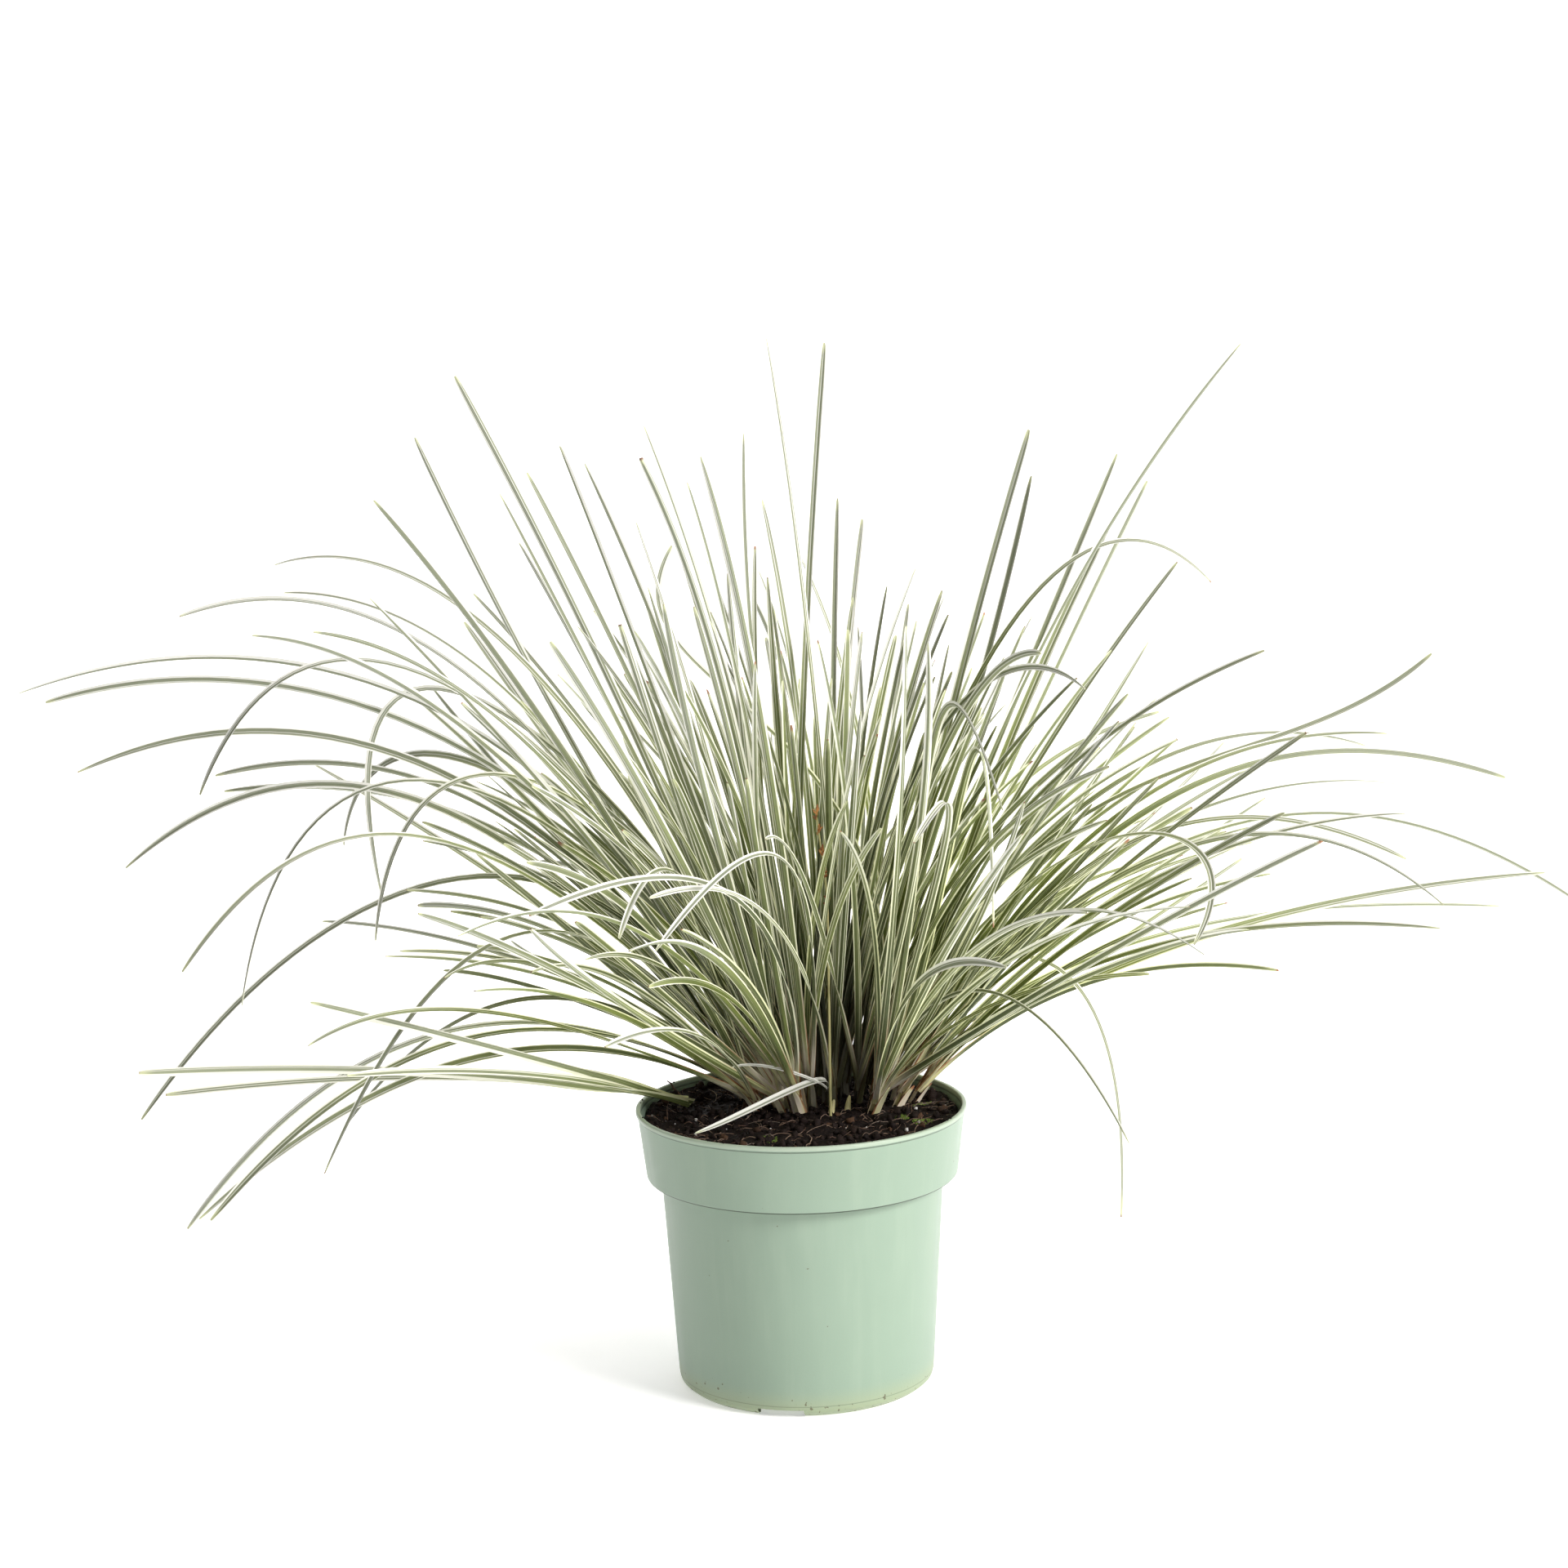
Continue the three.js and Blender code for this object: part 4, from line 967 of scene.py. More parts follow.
def pot_cutters():
    """Drain holes and foot notches as one mesh of closed bodies."""
    cutters = bmesh.new()
    for i in range(DRAIN.count):
        angle = 2 * math.pi * (i + 0.5) / DRAIN.count
        made = bmesh.ops.create_cone(
            cutters,
            cap_ends=True,
            segments=DRAIN_CUTTER.sides,
            radius1=DRAIN.radius,
            radius2=DRAIN.radius,
            depth=DRAIN_CUTTER.depth,
        )
        place = (*on_circle(DRAIN.circle, angle), POT.floor_rise)
        bmesh.ops.translate(cutters, verts=made["verts"], vec=place)
    for i in range(NOTCH.count):
        made = bmesh.ops.create_cube(cutters, size=1)
        size = (4 * POT.skirt_width, NOTCH.width, 2 * NOTCH.height)
        bmesh.ops.scale(cutters, verts=made["verts"], vec=size)
        bmesh.ops.translate(cutters, verts=made["verts"], vec=(POT.foot_radius, 0, 0))
        turn = Matrix.Rotation(NOTCH.first_angle + 2 * math.pi * i / NOTCH.count, 3, "Z")
        bmesh.ops.rotate(cutters, verts=made["verts"], cent=(0, 0, 0), matrix=turn)
    mesh = bpy.data.meshes.new("cutters")
    bmesh.ops.scale(cutters, verts=cutters.verts, vec=(MM, MM, MM))
    cutters.to_mesh(mesh)
    cutters.free()
    return mesh


def cut(mesh, cutters):
    """A mesh with the cutters taken out of it."""
    body = new_object("body", mesh)
    knife = new_object("knife", cutters)
    modifier = body.modifiers.new("cut", "BOOLEAN")
    modifier.operation = "DIFFERENCE"
    modifier.solver = "EXACT"
    modifier.object = knife
    graph = bpy.context.evaluated_depsgraph_get()
    result = bpy.data.meshes.new_from_object(body.evaluated_get(graph))
    for thing in (body, knife):
        bpy.data.objects.remove(thing)
    return result


def make_pot(material):
    points, faces = turned(rounded(pot_outline()), POT_SEGMENTS)
    mesh = bpy.data.meshes.new("pot_body")
    mesh.from_pydata((np.array(points) * MM).tolist(), [], faces)
    mesh = cut(mesh, pot_cutters())
    finish_piece("nursery_pot", mesh, material, ["pot"], 32)


# Soil and what lies in it

# The soil's fine surface: its rings, how it sinks at its edge, its swells and grain and how wide
# they are, the bank behind, how far it keeps from the pot, and the bits on it from its edge
SURFACE = Record(
    rings=70, segments=220, edge=1.2, edge_width=4, swell=1.5, swell_width=14, grain=0.55,
    grain_width=3.1, bank=4.5, bank_from=58, bank_width=24, pot_gap=0.6, floor_gap=0.3, edge_room=2,
)
# Bits on the soil: the shapes that they share and what these are made from, their sizes, how rare
# the large ones are, how far above the soil their middle lies and whether their looks vary
CRUMBS = Record(
    count=1500, shapes=8, first_seed=3, seed_step=7, roughness=0.55, smallest=0.35, largest=2.6,
    rarity=3, lift=0.25, varied=True,
)
PERLITE = Record(
    count=60, shapes=4, first_seed=50, seed_step=9, roughness=0.5, smallest=0.3, largest=1.1,
    rarity=2, lift=0.5, varied=False,
)
RIM_CRUMBS = Record(count=14, first_seed=90, seed_step=5, roughness=0.5, size=(0.3, 0.65), lift=0.3)
FIBRES = Record(
    count=300, reach=0.96, shortest=4, longest=22, rarity=2, steps=8, bend=1.6, lift=0.15,
    hump=(0.1, 1.6), radius=(0.09, 0.24), sides=5, rim_gap=1,
)
# Twigs, each by its foot in the soil, its middle and its end, with how they waver and thin
TWIGS = Record(
    lines=[
        [(-60, 40, 136), (-65, 42, 142), (-70, 45, 147.5)],
        [(-34, 62, 137), (-40, 65, 144), (-48, 66, 148.5)],
    ],
    rings=9, sides=7, wavering=0.25, waves=17, wave_shares=(1, 1.7, 0.6), radius=0.85, thinning=0.55,
)
# Cushions of moss, each by its place and how far it spreads, and the leaves of each: how they
# lean, how long they are, how much shorter at the edge, and their radii from foot to point
MOSS = Record(
    cushions=[(-17, -40, 5), (63, 20, 5), (62, -11, 5.5), (52, -4, 4)], flatness=0.7, leaves=170,
    sunk=0.1, lean=(0.1, 1.1), length=(0.7, 1.9), middle_length=1.15, edge_loss=0.6,
    places=(0, 0.35, 0.75, 1), radii=(0.14, 0.2, 0.13, 0.03), sides=4,
)


def soil_height(x, y):
    """The height of the soil's fine surface: the part's swells, finer ones and a bank behind."""
    low = math.sin(x / 9 + 1) * math.cos(y / 11) + 0.6 * math.sin((x + 2 * y) / 7)
    swell = noise.fractal(Vector((x / SURFACE.swell_width, y / SURFACE.swell_width, 3)), 0.9, 2.1, 3)
    grain = noise.fractal(Vector((x / SURFACE.grain_width, y / SURFACE.grain_width, 9)), 0.7, 2.2, 3)
    outward = clamp((math.hypot(x, y) - SURFACE.bank_from) / SURFACE.bank_width)
    bank = SURFACE.bank * clamp(0.5 + y / SURFACE.bank_from) * outward**2
    return SOIL.top + SOIL.relief * low + SURFACE.swell * swell + SURFACE.grain * grain + bank


def soil_rim():
    """The soil's radius where its surface meets the pot."""
    rise = (SOIL.top - POT.collar_height) / (POT.height - POT.collar_height)
    wall = POT.collar_radius - POT.wall
    return wall + rise * (POT.lip_radius - POT.collar_radius) - SURFACE.pot_gap


def make_soil(material):
    """The root ball: a fine surface over sides and a floor that follow the pot's inside."""
    rim = soil_rim()
    inside = pot_outline()[COLLAR_INSIDE:]
    lining = [(max(0.0, radius - SOIL.lining), height + SURFACE.floor_gap) for radius, height in inside]
    outline = [(0, lining[-1][1])] + lining[::-1][1:]
    for k in range(SURFACE.rings + 1):
        outline.append((rim * (1 - k / (SURFACE.rings + 1)), SOIL.top))
    outline.append((0, SOIL.top))
    points, faces = turned(outline, SURFACE.segments)
    shaped = []
    for x, y, z in points:
        if z > SOIL.top - 0.01:
            off_edge = (math.hypot(x, y) - rim + SURFACE.edge_width) / SURFACE.edge_width
            z = soil_height(x, y) - SURFACE.edge * max(0.0, off_edge)
        shaped.append((x, y, z))
    skin = Skin()
    skin.add(shaped, faces)
    skin.piece("soil_bed", material, "soil", ["potting_soil"], 180)


def soil_place(reach=1.0):
    """A random place on the soil, evenly over its disc."""
    return on_circle((soil_rim() - SURFACE.edge_room) * reach * math.sqrt(draw()), any_angle())


def lump(subdivisions, roughness, seed):
    """A unit lump: a fine ball pushed in and out by noise."""
    body = bmesh.new()
    bmesh.ops.create_icosphere(body, subdivisions=subdivisions, radius=1)
    points = []
    for vertex in body.verts:
        push = noise.noise(vertex.co * 1.3 + Vector((seed, 0, 0)))
        push += 0.5 * noise.noise(vertex.co * 2.9 + Vector((0, seed, 0)))
        points.append(vertex.co * (1 + roughness * push))
    faces = [[vertex.index for vertex in face.verts] for face in body.faces]
    body.free()
    return np.array(points), faces


def spun(points):
    """Points turned by three random turns."""
    for k in range(3):
        angle = any_angle()
        a, b = points[:, (k + 1) % 3], points[:, (k + 2) % 3]
        spun_points = points.copy()
        spun_points[:, (k + 1) % 3] = a * math.cos(angle) - b * math.sin(angle)
        spun_points[:, (k + 2) % 3] = a * math.sin(angle) + b * math.cos(angle)
        points = spun_points
    return points


def make_bits(name, bits, material):
    """Bits of one kind, most of them small, which lie in the soil."""
    seeds = [bits.first_seed + bits.seed_step * k for k in range(bits.shapes)]
    shapes = [lump(2, bits.roughness, seed) for seed in seeds]
    skin = Skin()
    for _ in range(bits.count):
        x, y = soil_place()
        size = bits.smallest + (bits.largest - bits.smallest) * draw() ** bits.rarity
        points, faces = shapes[int(draw(0, len(shapes)))]
        stretch = (size * draw(0.7, 1.2), size, size * draw(0.6, 1)) if bits.varied else size
        points = spun(points * stretch) + (x, y, soil_height(x, y) + bits.lift * size)
        looks = {"grain": (draw(), draw(), 0)} if bits.varied else {}
        skin.add(points, faces, **looks)
    skin.piece(name, material, "soil", sharp=180)


def make_rim_crumbs(material):
    """A few crumbs that lie on the rim."""
    skin = Skin()
    radius = POT.lip_radius - POT.wall / 2
    for k in range(RIM_CRUMBS.count):
        points, faces = lump(1, RIM_CRUMBS.roughness, RIM_CRUMBS.first_seed + RIM_CRUMBS.seed_step * k)
        angle = any_angle()
        size = draw(*RIM_CRUMBS.size)
        place = (*on_circle(radius, angle), POT.height + RIM_CRUMBS.lift * size)
        skin.add(spun(points * size) + place, faces, grain=(0, 0, 0))
    skin.piece("rim_crumbs", material, "soil", sharp=180)


def make_twigs(material):
    """Bits of dead twig stuck in the soil behind the crown."""
    skin = Skin()
    shares = np.linspace(0, 1, TWIGS.rings)
    wavering = TWIGS.wavering * np.sin(np.outer(shares * TWIGS.waves, TWIGS.wave_shares))
    for points in TWIGS.lines:
        places = route(np.array(points, float), shares) + wavering
        radii = TWIGS.radius - TWIGS.thinning * shares**2
        skin.add(*tube(places, radii, TWIGS.sides), grain=(0.2, 0.3, 0))
    skin.piece("dead_twigs", material, "soil", sharp=60)


def make_fibres(material):
    """Thin root and peat fibres that lie in curves over the soil."""
    skin = Skin()
    for _ in range(FIBRES.count):
        x, y = soil_place(FIBRES.reach)
        length = FIBRES.shortest + (FIBRES.longest - FIBRES.shortest) * draw() ** FIBRES.rarity
        azimuth = any_angle()
        bend = sway(FIBRES.bend)
        hump = draw(*FIBRES.hump)
        points = []
        for k in range(FIBRES.steps + 1):
            share = k / FIBRES.steps
            step_x, step_y = on_circle(length / FIBRES.steps, azimuth + bend * share)
            x, y = x + step_x, y + step_y
            if math.hypot(x, y) > soil_rim() - FIBRES.rim_gap:
                break
            height = soil_height(x, y) + FIBRES.lift + hump * math.sin(math.pi * share)
            points.append((x, y, height))
        if len(points) > 2:
            skin.add(*tube(points, draw(*FIBRES.radius), FIBRES.sides), grain=(draw(), draw(), 0))
    skin.piece("peat_fibres", material, "soil", sharp=80)


def make_moss(material):
    """Small cushions of moss: many short pointed leaves on the soil."""
    skin = Skin()
    places = np.array(MOSS.places)[:, None]
    for x0, y0, spread in MOSS.cushions:
        for _ in range(MOSS.leaves):
            reach = spread * math.sqrt(draw())
            angle = any_angle()
            x, y = x0 + reach * math.cos(angle), y0 + MOSS.flatness * reach * math.sin(angle)
            foot = np.array([x, y, soil_height(x, y) - MOSS.sunk])
            run = heading(draw(*MOSS.lean), any_angle())
            length = draw(*MOSS.length) * (MOSS.middle_length - reach / spread * MOSS.edge_loss)
            points = foot + places * run * length
            skin.add(*tube(points, MOSS.radii, MOSS.sides), grain=(draw(), draw(), 0))
    skin.piece("moss", material, "soil", sharp=80)


# Materials


class Value:
    """A node's output that can be reckoned with like a number."""

    def __init__(self, nodes, socket):
        self.nodes = nodes
        self.socket = socket

    def __add__(self, other):
        return self.nodes.math("ADD", self, other)

    def __sub__(self, other):
        return self.nodes.math("SUBTRACT", self, other)

    def __mul__(self, other):
        return self.nodes.math("MULTIPLY", self, other)

    def __pow__(self, other):
        return self.nodes.math("POWER", self, other)

    def __abs__(self):
        return self.nodes.math("ABSOLUTE", self)


class Nodes:
    """A procedural material and short calls to build its nodes."""

    def __init__(self, name):
        self.material = bpy.data.materials.new(name)
        self.material.use_nodes = True
        self.tree = self.material.node_tree
        self.shader = self.tree.nodes["Principled BSDF"]

    def put(self, socket, value):
        """Sets an input to a value, or to a colour of three parts given as seen on a screen."""
        if isinstance(value, Value):
            self.tree.links.new(value.socket, socket)
        elif socket.type == "RGBA" and len(value) == 3:
            socket.default_value = shade(*value)
        else:
            socket.default_value = value

    def node(self, kind, inputs=(), **settings):
        """A node with its settings and its inputs, given by socket name or number."""
        node = self.tree.nodes.new(kind)
        for name, value in settings.items():
            setattr(node, name, value)
        for key, value in dict(inputs).items():
            self.put(node.inputs[key], value)
        return node

    def add(self, kind, inputs=(), output=0, **settings):
        """The output of a new node."""
        return Value(self, self.node(kind, inputs, **settings).outputs[output])

    def math(self, operation, *values, clamp=False):
        return self.add("ShaderNodeMath", enumerate(values), operation=operation, use_clamp=clamp)

    def parts(self, vector):
        """The three parts of a vector."""
        node = self.node("ShaderNodeSeparateXYZ", {0: vector})
        return [Value(self, socket) for socket in node.outputs]

    def value(self, name):
        """The three values of an attribute at each point."""
        return self.parts(self.add("ShaderNodeAttribute", output="Vector", attribute_name=name))

    def place(self, stretch=None):
        """The place on the part in metres, or this stretched."""
        place = self.add("ShaderNodeTexCoord", output="Object")
        if stretch:
            place = self.add("ShaderNodeVectorMath", {0: place, 1: stretch}, operation="MULTIPLY")
        return place

    def noise(self, vector, scale, detail, roughness=0.55):
        inputs = {"Vector": vector, "Scale": scale, "Detail": detail, "Roughness": roughness}
        return self.add("ShaderNodeTexNoise", inputs, output="Fac")

    def ramp(self, value, low, high, start=0.0, end=1.0):
        """A smooth step from start to end as value goes from low to high."""
        inputs = {"Value": value, "From Min": low, "From Max": high, "To Min": start, "To Max": end}
        return self.add("ShaderNodeMapRange", inputs, interpolation_type="SMOOTHSTEP")

    def mix(self, share, first, second):
        inputs = {0: share, 6: first, 7: second}
        return self.add("ShaderNodeMix", inputs, output=2, data_type="RGBA")

    def bump(self, height, distance, strength):
        inputs = {"Height": height, "Distance": distance, "Strength": strength}
        return self.add("ShaderNodeBump", inputs, output="Normal")

    def finish(self, color, roughness, normal=None, **constants):
        self.put(self.shader.inputs["Base Color"], color)
        self.put(self.shader.inputs["Roughness"], roughness)
        if normal is not None:
            self.put(self.shader.inputs["Normal"], normal)
        for name, value in constants.items():
            self.shader.inputs[name.replace("_", " ")].default_value = value
        return self.material


def shade(red, green, blue):
    """A colour given as seen on a screen, 0 to 255, in the linear form that shaders take."""
    linear = []
    for part in (red, green, blue):
        share = part / 255
        linear.append(share / 12.92 if share <= 0.04045 else ((share + 0.055) / 1.055) ** 2.4)
    return (*linear, 1.0)


def leaf_material():
    """Strap leaves: cream margins and stripes on green, pale sheaths and small rusty ends."""
    n = Nodes("leaf")
    across, tone, upper = n.value("place")
    from_foot, to_tip, _ = n.value("along")
    hue, cream, dry = n.value("kind")

    def lot(factor):
        """A number from 0 to 1 of each leaf's own."""
        return n.math("FRACT", tone * factor)

    def along_leaf(across_scale, foot_scale, detail):
        """Noise drawn out along the leaf."""
        inputs = {0: across * across_scale, 1: from_foot * foot_scale, 2: tone * 60}
        return n.noise(n.add("ShaderNodeCombineXYZ", inputs), 1, detail)

    streaks = along_leaf(2.6, 0.35, 4)
    fine = along_leaf(8, 0.12, 3)
    blotch = along_leaf(0.6, 2.2, 4)

    # a grey-green and a yellow-green, darker and lighter by leaf and in fine lines
    # painted shade: each leaf is darker near its foot and lighter towards its tip, as the clump is
    # shaded low down
    light = fine * 0.7 + lot(43.1) * 0.35 + n.ramp(from_foot, 0.8, 2.6, -0.24, 0.37)
    cool = n.mix(light, (26, 35, 8), (136, 144, 98))
    warm = n.mix(light, (40, 53, 0), (146, 161, 48))
    yellow = n.math("ADD", hue * 0.7, n.ramp(from_foot, 0.8, 3.0, 0.5, -0.1), clamp=True)
    green = n.mix(yellow, cool, warm)
    green = n.mix(n.ramp(blotch, 0.4, 0.7, 0, 0.35), green, (40, 64, 18))
    green = n.mix(n.ramp(from_foot, 1.4, 3.2, 0, 0.7), green, (130, 135, 116))
    cream = cream * n.ramp(from_foot, 0.9, 2.2, 0.4, 1)
    green = n.mix(cream**2 * 0.55, green, (158, 164, 148))

    # cream margins, a pale line beside the keel on most leaves, and thin lines between
    wobble = (streaks - 0.5) * 0.22
    skew = (lot(17.3) - 0.5) * 0.16
    edge = n.ramp(from_foot, 1.2, 3.0, 0.8, 0.7) - cream * 0.46
    margin = n.ramp(abs(across + skew + wobble), edge, edge + 0.06)
    off_line = abs(across + wobble - (lot(29.7) - 0.5) * 0.7)
    half_line = lot(61.7) * 0.14 - 0.03
    line = n.ramp(off_line, half_line, half_line + 0.06, 0.7, 0)
    lines = n.ramp(fine, 0.58, 0.64, 0, 0.22)
    pale = n.math("MAXIMUM", margin, n.math("MAXIMUM", line, lines))
    yellowish = yellow * n.ramp(from_foot, 1.0, 2.8, 1, 0.25)
    color = n.mix(pale, green, n.mix(yellowish, (238, 238, 230), (240, 243, 184)))

    # undersides are a little paler
    color = n.mix(n.ramp(upper, 0.45, 0.55, 0.1, 0.0), color, (160, 166, 142))

    # the sheathing base: cream and pinkish white, with rust along its edges
    base = n.ramp(from_foot + streaks * 0.2, 0.14, 0.46, 1, 0)
    sheath = n.mix(n.ramp(blotch, 0.35, 0.65), (248, 236, 222), (234, 230, 166))
    color = n.mix(base * 0.9, color, sheath)
    rust = n.ramp(abs(across) + blotch * 0.9, 1.22, 1.36) * n.ramp(from_foot, 0.15, 0.7, 0.9, 0)
    color = n.mix(rust, color, n.mix(streaks, (170, 96, 40), (96, 50, 24)))

    # old leaf bases: straw, then rusty brown, with dark flecks
    dead = n.mix(streaks, (214, 186, 130), (142, 78, 34))
    dead = n.mix(n.ramp(fine, 0.6, 0.75), dead, (60, 40, 26))
    dead = n.mix(n.ramp(from_foot, 0.0, 0.22, 0.5, 0), dead, (226, 214, 196))
    color = n.mix(dry * n.ramp(blotch, 0.3, 0.6, 0.35, 1), color, dead)

    # the end of a leaf pales, and most have a small rusty point
    color = n.mix(n.ramp(to_tip, 0.02, 0.09, 0.45, 0), color, (222, 226, 170))
    reach = n.math("ADD", 0.01, lot(29.7) ** 6 * 0.025)
    point = n.ramp(to_tip, reach * 0.6, reach * 1.5, 0.95, 0) * n.ramp(lot(71.3), 0.3, 0.4)
    color = n.mix(point, color, n.mix(lot(43.1), (176, 120, 84), (92, 56, 42)))

    # painted shade: deep in the crown and low down, the leaves darken to a near-black green
    size = 1 / (CROWN.radius_x * MM), 1 / (CROWN.radius_y * MM), 0
    middle = -CROWN.x / CROWN.radius_x, -CROWN.y / CROWN.radius_y, 0
    inputs = {0: n.place(), 1: size, 2: middle}
    crown_place = n.add("ShaderNodeVectorMath", inputs, operation="MULTIPLY_ADD")
    from_middle = n.add("ShaderNodeVectorMath", {0: crown_place}, output="Value", operation="LENGTH")
    depth = n.ramp(from_middle, 0.5, 0.95, 0.85, 0) * n.ramp(from_foot, 0.4, 1.4, 1, 0)
    color = n.mix(depth, color, (32, 38, 14))

    normal = n.bump(along_leaf(13, 0.1, 2), 0.00025, 0.6)
    roughness = n.ramp(streaks, 0.2, 0.8, 0.36, 0.56)
    return n.finish(color, roughness, normal, Specular_IOR_Level=0.42)


# Fine dark lines of painted shadow round the pot: height, half width and strength
POT_SHADOW_LINES = [(142.1, 0.3, 0.6), (109.6, 0.5, 0.95), (5.8, 0.2, 0.3)]


def pot_material():
    """Moulded pale-green plastic with a satin skin, faint flow marks and a little grime low down."""
    n = Nodes("pot_plastic")
    place = n.place()
    height = n.parts(place)[2]
    flow = n.noise(n.place((90, 90, 9)), 1, 3)
    color = n.mix(n.ramp(n.noise(place, 14, 3), 0.3, 0.7, 0, 0.6), (139, 160, 141), (143, 164, 145))
    color = n.mix(n.ramp(flow, 0.45, 0.75, 0, 0.25), color, (160, 178, 158))
    color = n.mix(n.ramp(height, 0.002, 0.016, 0.55, 0), color, (164, 172, 132))
    low = n.ramp(height, 0.001, 0.02, 0.66, 0.80)
    dirt = n.ramp(n.noise(place, 420, 1), low, low + 0.03)
    color = n.mix(dirt * 0.8, color, (92, 84, 60))
    # a painted highlight on the bead, and fine lines of painted shadow under it, under the collar and
    # at the heel
    bead_foot = (POT.height - POT.bead_height) * MM
    color = n.mix(n.ramp(height, bead_foot, bead_foot + 0.5 * MM, 0, 0.5), color, (186, 198, 178))
    for line, half_width, share in POT_SHADOW_LINES:
        off = abs(height - line * MM)
        drawn = n.ramp(off, half_width * MM, 1.6 * half_width * MM, share, 0)
        color = n.mix(drawn, color, (48, 60, 46))
    normal = n.bump(n.noise(place, 900, 2) + flow * 0.6, 0.00008, 0.5)
    return n.finish(color, n.ramp(flow, 0.3, 0.7, 0.36, 0.46), normal, Specular_IOR_Level=0.45)


def soil_material():
    """Damp peat: near black, with rusty and grey fibres worked through it."""
    n = Nodes("soil")
    clods = n.noise(n.place(), 160, 5, 0.65)
    grain = n.noise(n.place(), 900, 4, 0.6)
    threads = n.noise(n.place((1500, 300, 900)), 1, 3)
    color = n.mix(clods, (7, 4, 3), (25, 15, 12))
    color = n.mix(n.ramp(grain, 0.5, 0.72, 0, 0.5), color, (56, 38, 30))
    color = n.mix(n.ramp(threads, 0.66, 0.76, 0, 0.45), color, (96, 78, 68))
    normal = n.bump(clods + grain * 0.5, 0.0012, 0.9)
    return n.finish(color, n.ramp(clods, 0.3, 0.7, 0.6, 0.95), normal, Specular_IOR_Level=0.18)


# Looks of small things. Their grain: how it is stretched, its scale, its detail and more. What
# mixes their two base colours: the grain, or the kind or light that each thing has of its own.
# Colours laid over these: what brings each out, between which values, and from what share to what.
# Then how rough they are where the grain is low and high, and how deep and strong their relief is.
SMALL_LOOKS = {
    "crumbs": Record(
        grain=(None, 1100, 4, 0.6), base=("grain", (9, 6, 5), (42, 28, 23)),
        over=[("kind", 0.88, 1, 0, 0.6, (96, 70, 50)), ("light", 0, 0.5, 0.5, 0, (8, 5, 5))],
        rough=(0.6, 0.9), relief=(0.0006, 0.8), specular=0.2,
    ),
    "fibres": Record(
        grain=(None, 700, 3), base=("kind", (84, 56, 40), (150, 128, 110)),
        over=[
            ("light", 0.85, 1, 0, 0.7, (176, 164, 150)), ("grain", 0.4, 0.7, 0, 0.5, (48, 32, 24)),
        ],
        rough=(0.6, 0.8), relief=(0.0002, 0.6), specular=0.5,
    ),
    "perlite": Record(
        grain=(None, 1500, 4), base=("grain", (150, 148, 144), (238, 238, 236)), over=[],
        rough=(0.5, 0.8), relief=(0.0006, 0.9), specular=0.5,
    ),
    "moss": Record(
        grain=(None, 1300, 3), base=("kind", (72, 98, 30), (132, 158, 66)),
        over=[("light", 0.6, 1, 0, 0.5, (150, 140, 70))],
        rough=(0.45, 0.7), relief=(0.0002, 0.5), specular=0.5,
    ),
    "young_shoot": Record(
        grain=((1600, 1600, 120), 1, 3), base=("grain", (236, 228, 178), (206, 198, 132)), over=[],
        rough=(0.35, 0.55), relief=(0.0001, 0.5), specular=0.5,
    ),
}


def small_material(name):
    look = SMALL_LOOKS[name]
    n = Nodes(name)
    stretch, *kind_of_noise = look.grain
    grain = n.noise(n.place(stretch), *kind_of_noise)
    values = {"grain": grain}
    if look.over:
        values["kind"], values["light"], _ = n.value("grain")
    mixer, first, second = look.base
    color = n.mix(values[mixer], first, second)
    for driver, low, high, start, end, laid_over in look.over:
        color = n.mix(n.ramp(values[driver], low, high, start, end), color, laid_over)
    roughness = n.ramp(grain, 0.3, 0.7, *look.rough)
    return n.finish(color, roughness, n.bump(grain, *look.relief), Specular_IOR_Level=look.specular)


def spike_material():
    n = Nodes("dry_spike")
    husk, kind, _ = n.value("husk")
    grain = n.noise(n.place((1400, 1400, 160)), 1, 3)
    stem = n.mix(grain, (170, 168, 112), (196, 186, 132))
    color = n.mix(husk, stem, n.mix(kind, (116, 62, 26), (196, 140, 80)))
    color = n.mix(n.ramp(grain, 0.5, 0.75, 0, 0.4), color, (84, 52, 30))
    return n.finish(color, n.ramp(grain, 0.3, 0.7, 0.5, 0.75), n.bump(grain, 0.0002, 0.6))


def floor_material():
    n = Nodes("floor")
    color = n.mix(n.noise(n.place(), 0.8, 2), (0.88, 0.88, 0.88, 1), (0.9, 0.9, 0.9, 1))
    return n.finish(color, 0.9, Emission_Color=(1, 1, 1, 1), Emission_Strength=0.4)


# Stage: a pale floor that rises to a backdrop, soft lights and the camera

STAGE = Record(half_width=7.0, front=-5.0, back=4.0, rise=5.0, bend=1.5, bend_steps=12)
PLANT_MIDDLE = (0, 0, 0.25)
# Each light by its place, the point it shines on, its size and its power
LIGHTS = {
    "key": ((1.75, -1.25, 1.3), PLANT_MIDDLE, 1.0, 69),
    "fill": ((0.5, -2.3, 0.35), (0, 0, 0.16), 1.0, 6),
    "top": ((0.2, 0.2, 2.4), PLANT_MIDDLE, 1.2, 19),
    "backdrop": ((0.0, 1.2, 2.6), (0.0, 4.0, 0.8), 2.6, 120),
}
LIGHT_TINT = (1.0, 0.972, 0.968)
SKY = Record(color=(1, 0.985, 0.97, 1), strength=0.17)


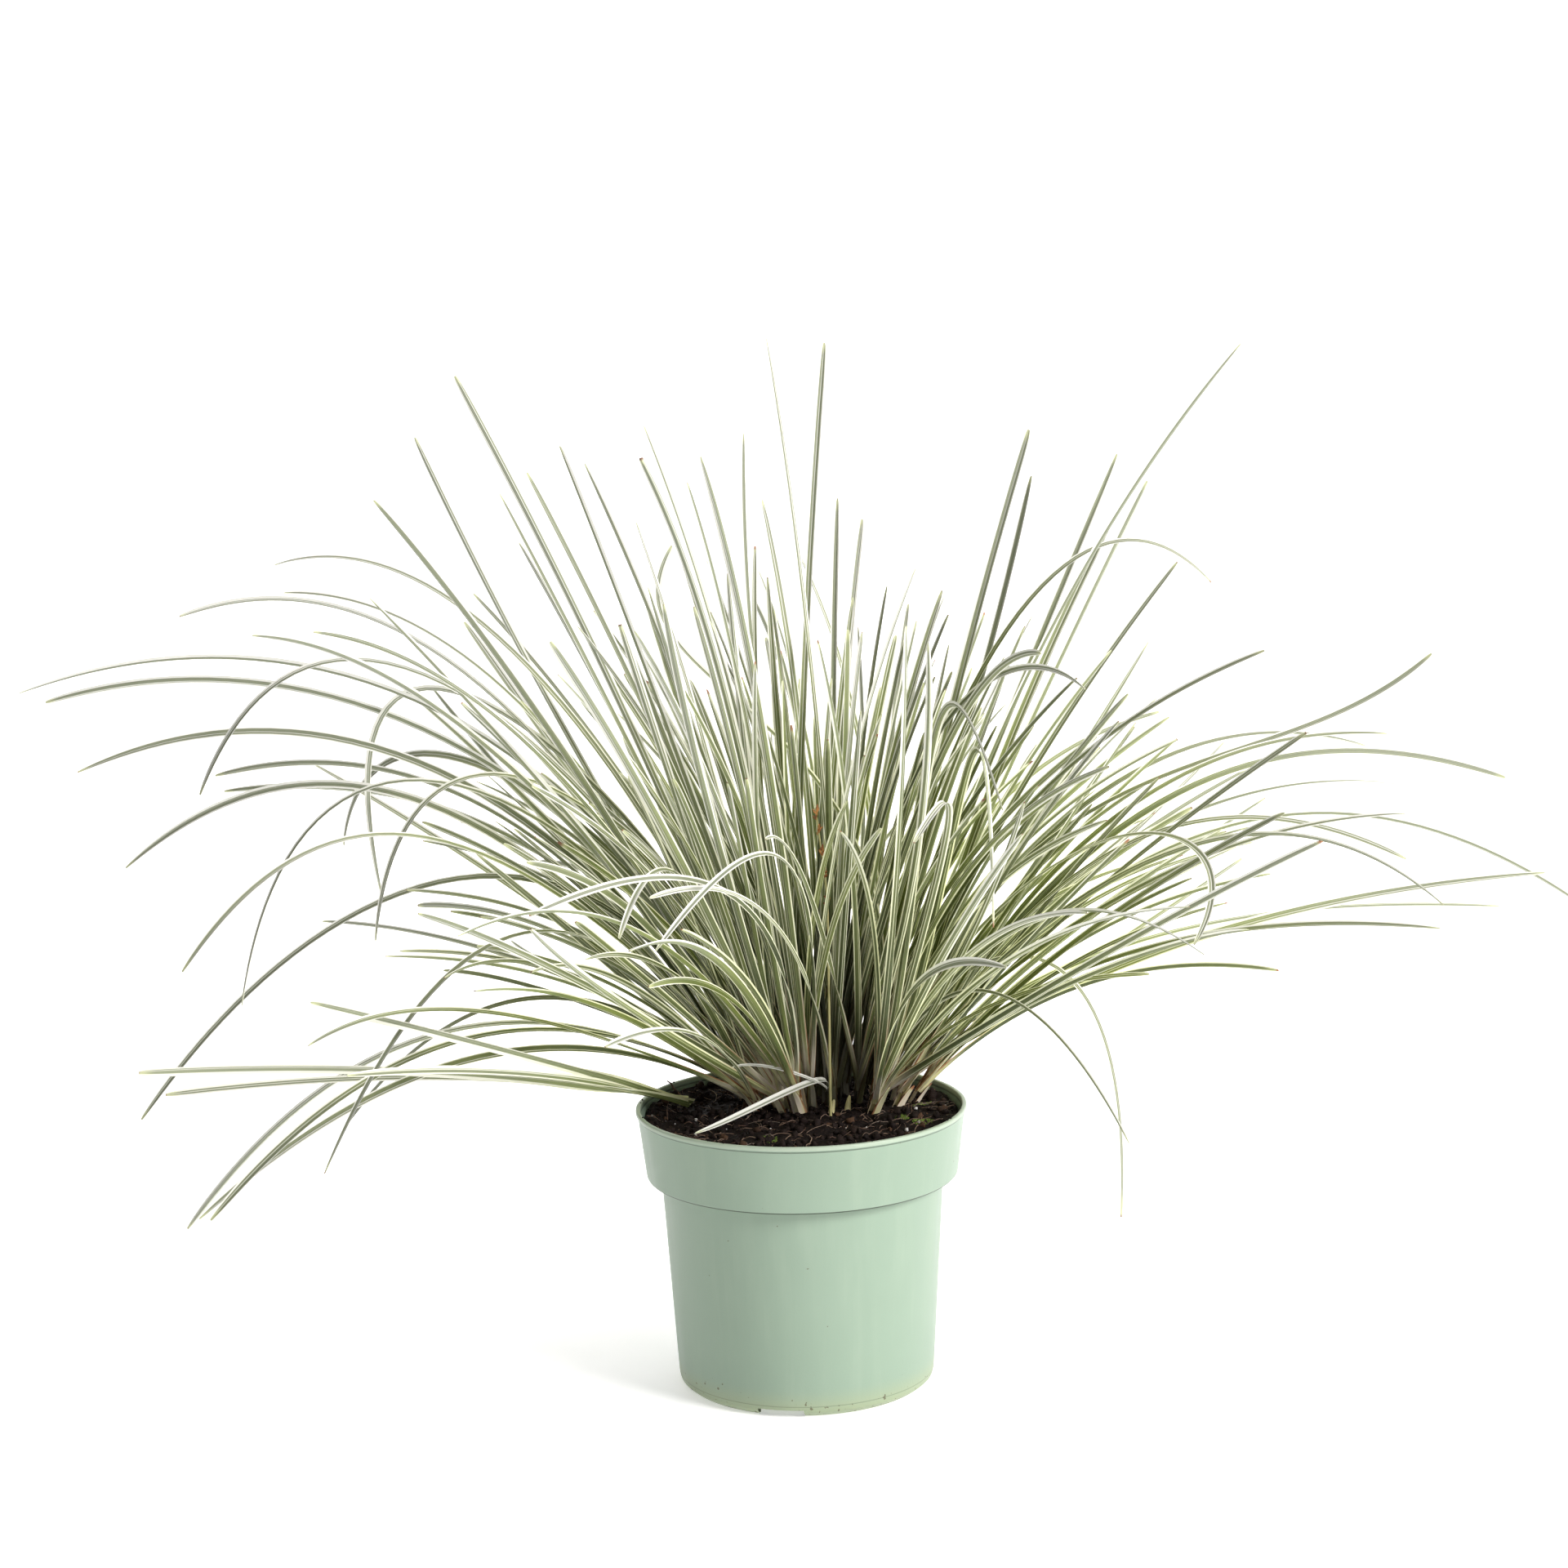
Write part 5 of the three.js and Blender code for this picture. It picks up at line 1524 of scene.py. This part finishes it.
def make_floor():
    back, bend = STAGE.back, STAGE.bend
    profile = [(STAGE.front, 0.0), (back - bend, 0.0)]
    for k in range(1, STAGE.bend_steps + 1):
        angle = math.pi / 2 * k / STAGE.bend_steps
        profile.append((back - bend + bend * math.sin(angle), bend - bend * math.cos(angle)))
    profile.append((back, STAGE.rise))
    points = [(x, y, z) for y, z in profile for x in (-STAGE.half_width, STAGE.half_width)]
    faces = [(2 * k, 2 * k + 1, 2 * k + 3, 2 * k + 2) for k in range(len(profile) - 1)]
    mesh = bpy.data.meshes.new("floor")
    mesh.from_pydata(points, [], faces)
    mesh.shade_smooth()
    mesh.materials.append(floor_material())
    floor = new_object("floor", mesh)


def make_lights():
    for name, (place, target, size, power) in LIGHTS.items():
        light = bpy.data.lights.new(name, "AREA")
        light.shape = "DISK"
        light.size = size
        light.energy = power
        light.color = LIGHT_TINT
        lamp = new_object(name, light)
        lamp.location = place
        run = Vector(target) - Vector(place)
        lamp.rotation_euler = run.to_track_quat("-Z", "Y").to_euler()
    world = bpy.data.worlds.new("studio")
    world.use_nodes = True
    background = world.node_tree.nodes["Background"]
    background.inputs["Color"].default_value = SKY.color
    background.inputs["Strength"].default_value = SKY.strength
    bpy.context.scene.world = world
    bpy.context.scene.view_settings.view_transform = "Standard"


def make_camera():
    camera = bpy.data.cameras.new("camera")
    camera.sensor_fit = "HORIZONTAL"
    camera.sensor_width = CAMERA.sensor
    camera.lens = CAMERA.lens
    camera.clip_start, camera.clip_end = 0.05, 50
    eye = new_object("camera", camera)
    tilt = Matrix.Rotation(math.pi / 2 - CAMERA.pitch, 4, "X")
    roll = Matrix.Rotation(CAMERA.roll, 4, "Z")
    eye.matrix_world = Matrix.Translation(Vector(VIEWPOINT) * MM) @ tilt @ roll
    bpy.context.scene.camera = eye


make_camera()
make_floor()
make_lights()

# the leaves grow before anything else draws, as they do in the part
fans = grow()

make_pot(pot_material())
make_soil(soil_material())
make_bits("soil_crumbs", CRUMBS, small_material("crumbs"))
make_bits("perlite", PERLITE, small_material("perlite"))
make_fibres(small_material("fibres"))
make_moss(small_material("moss"))
make_rim_crumbs(small_material("crumbs"))
make_twigs(small_material("fibres"))
make_tufts(fans, leaf_material())
make_spike(spike_material())
for shoot_name, young_shoot in SHOOTS.items():
    make_shoot(shoot_name, young_shoot, small_material("young_shoot"))
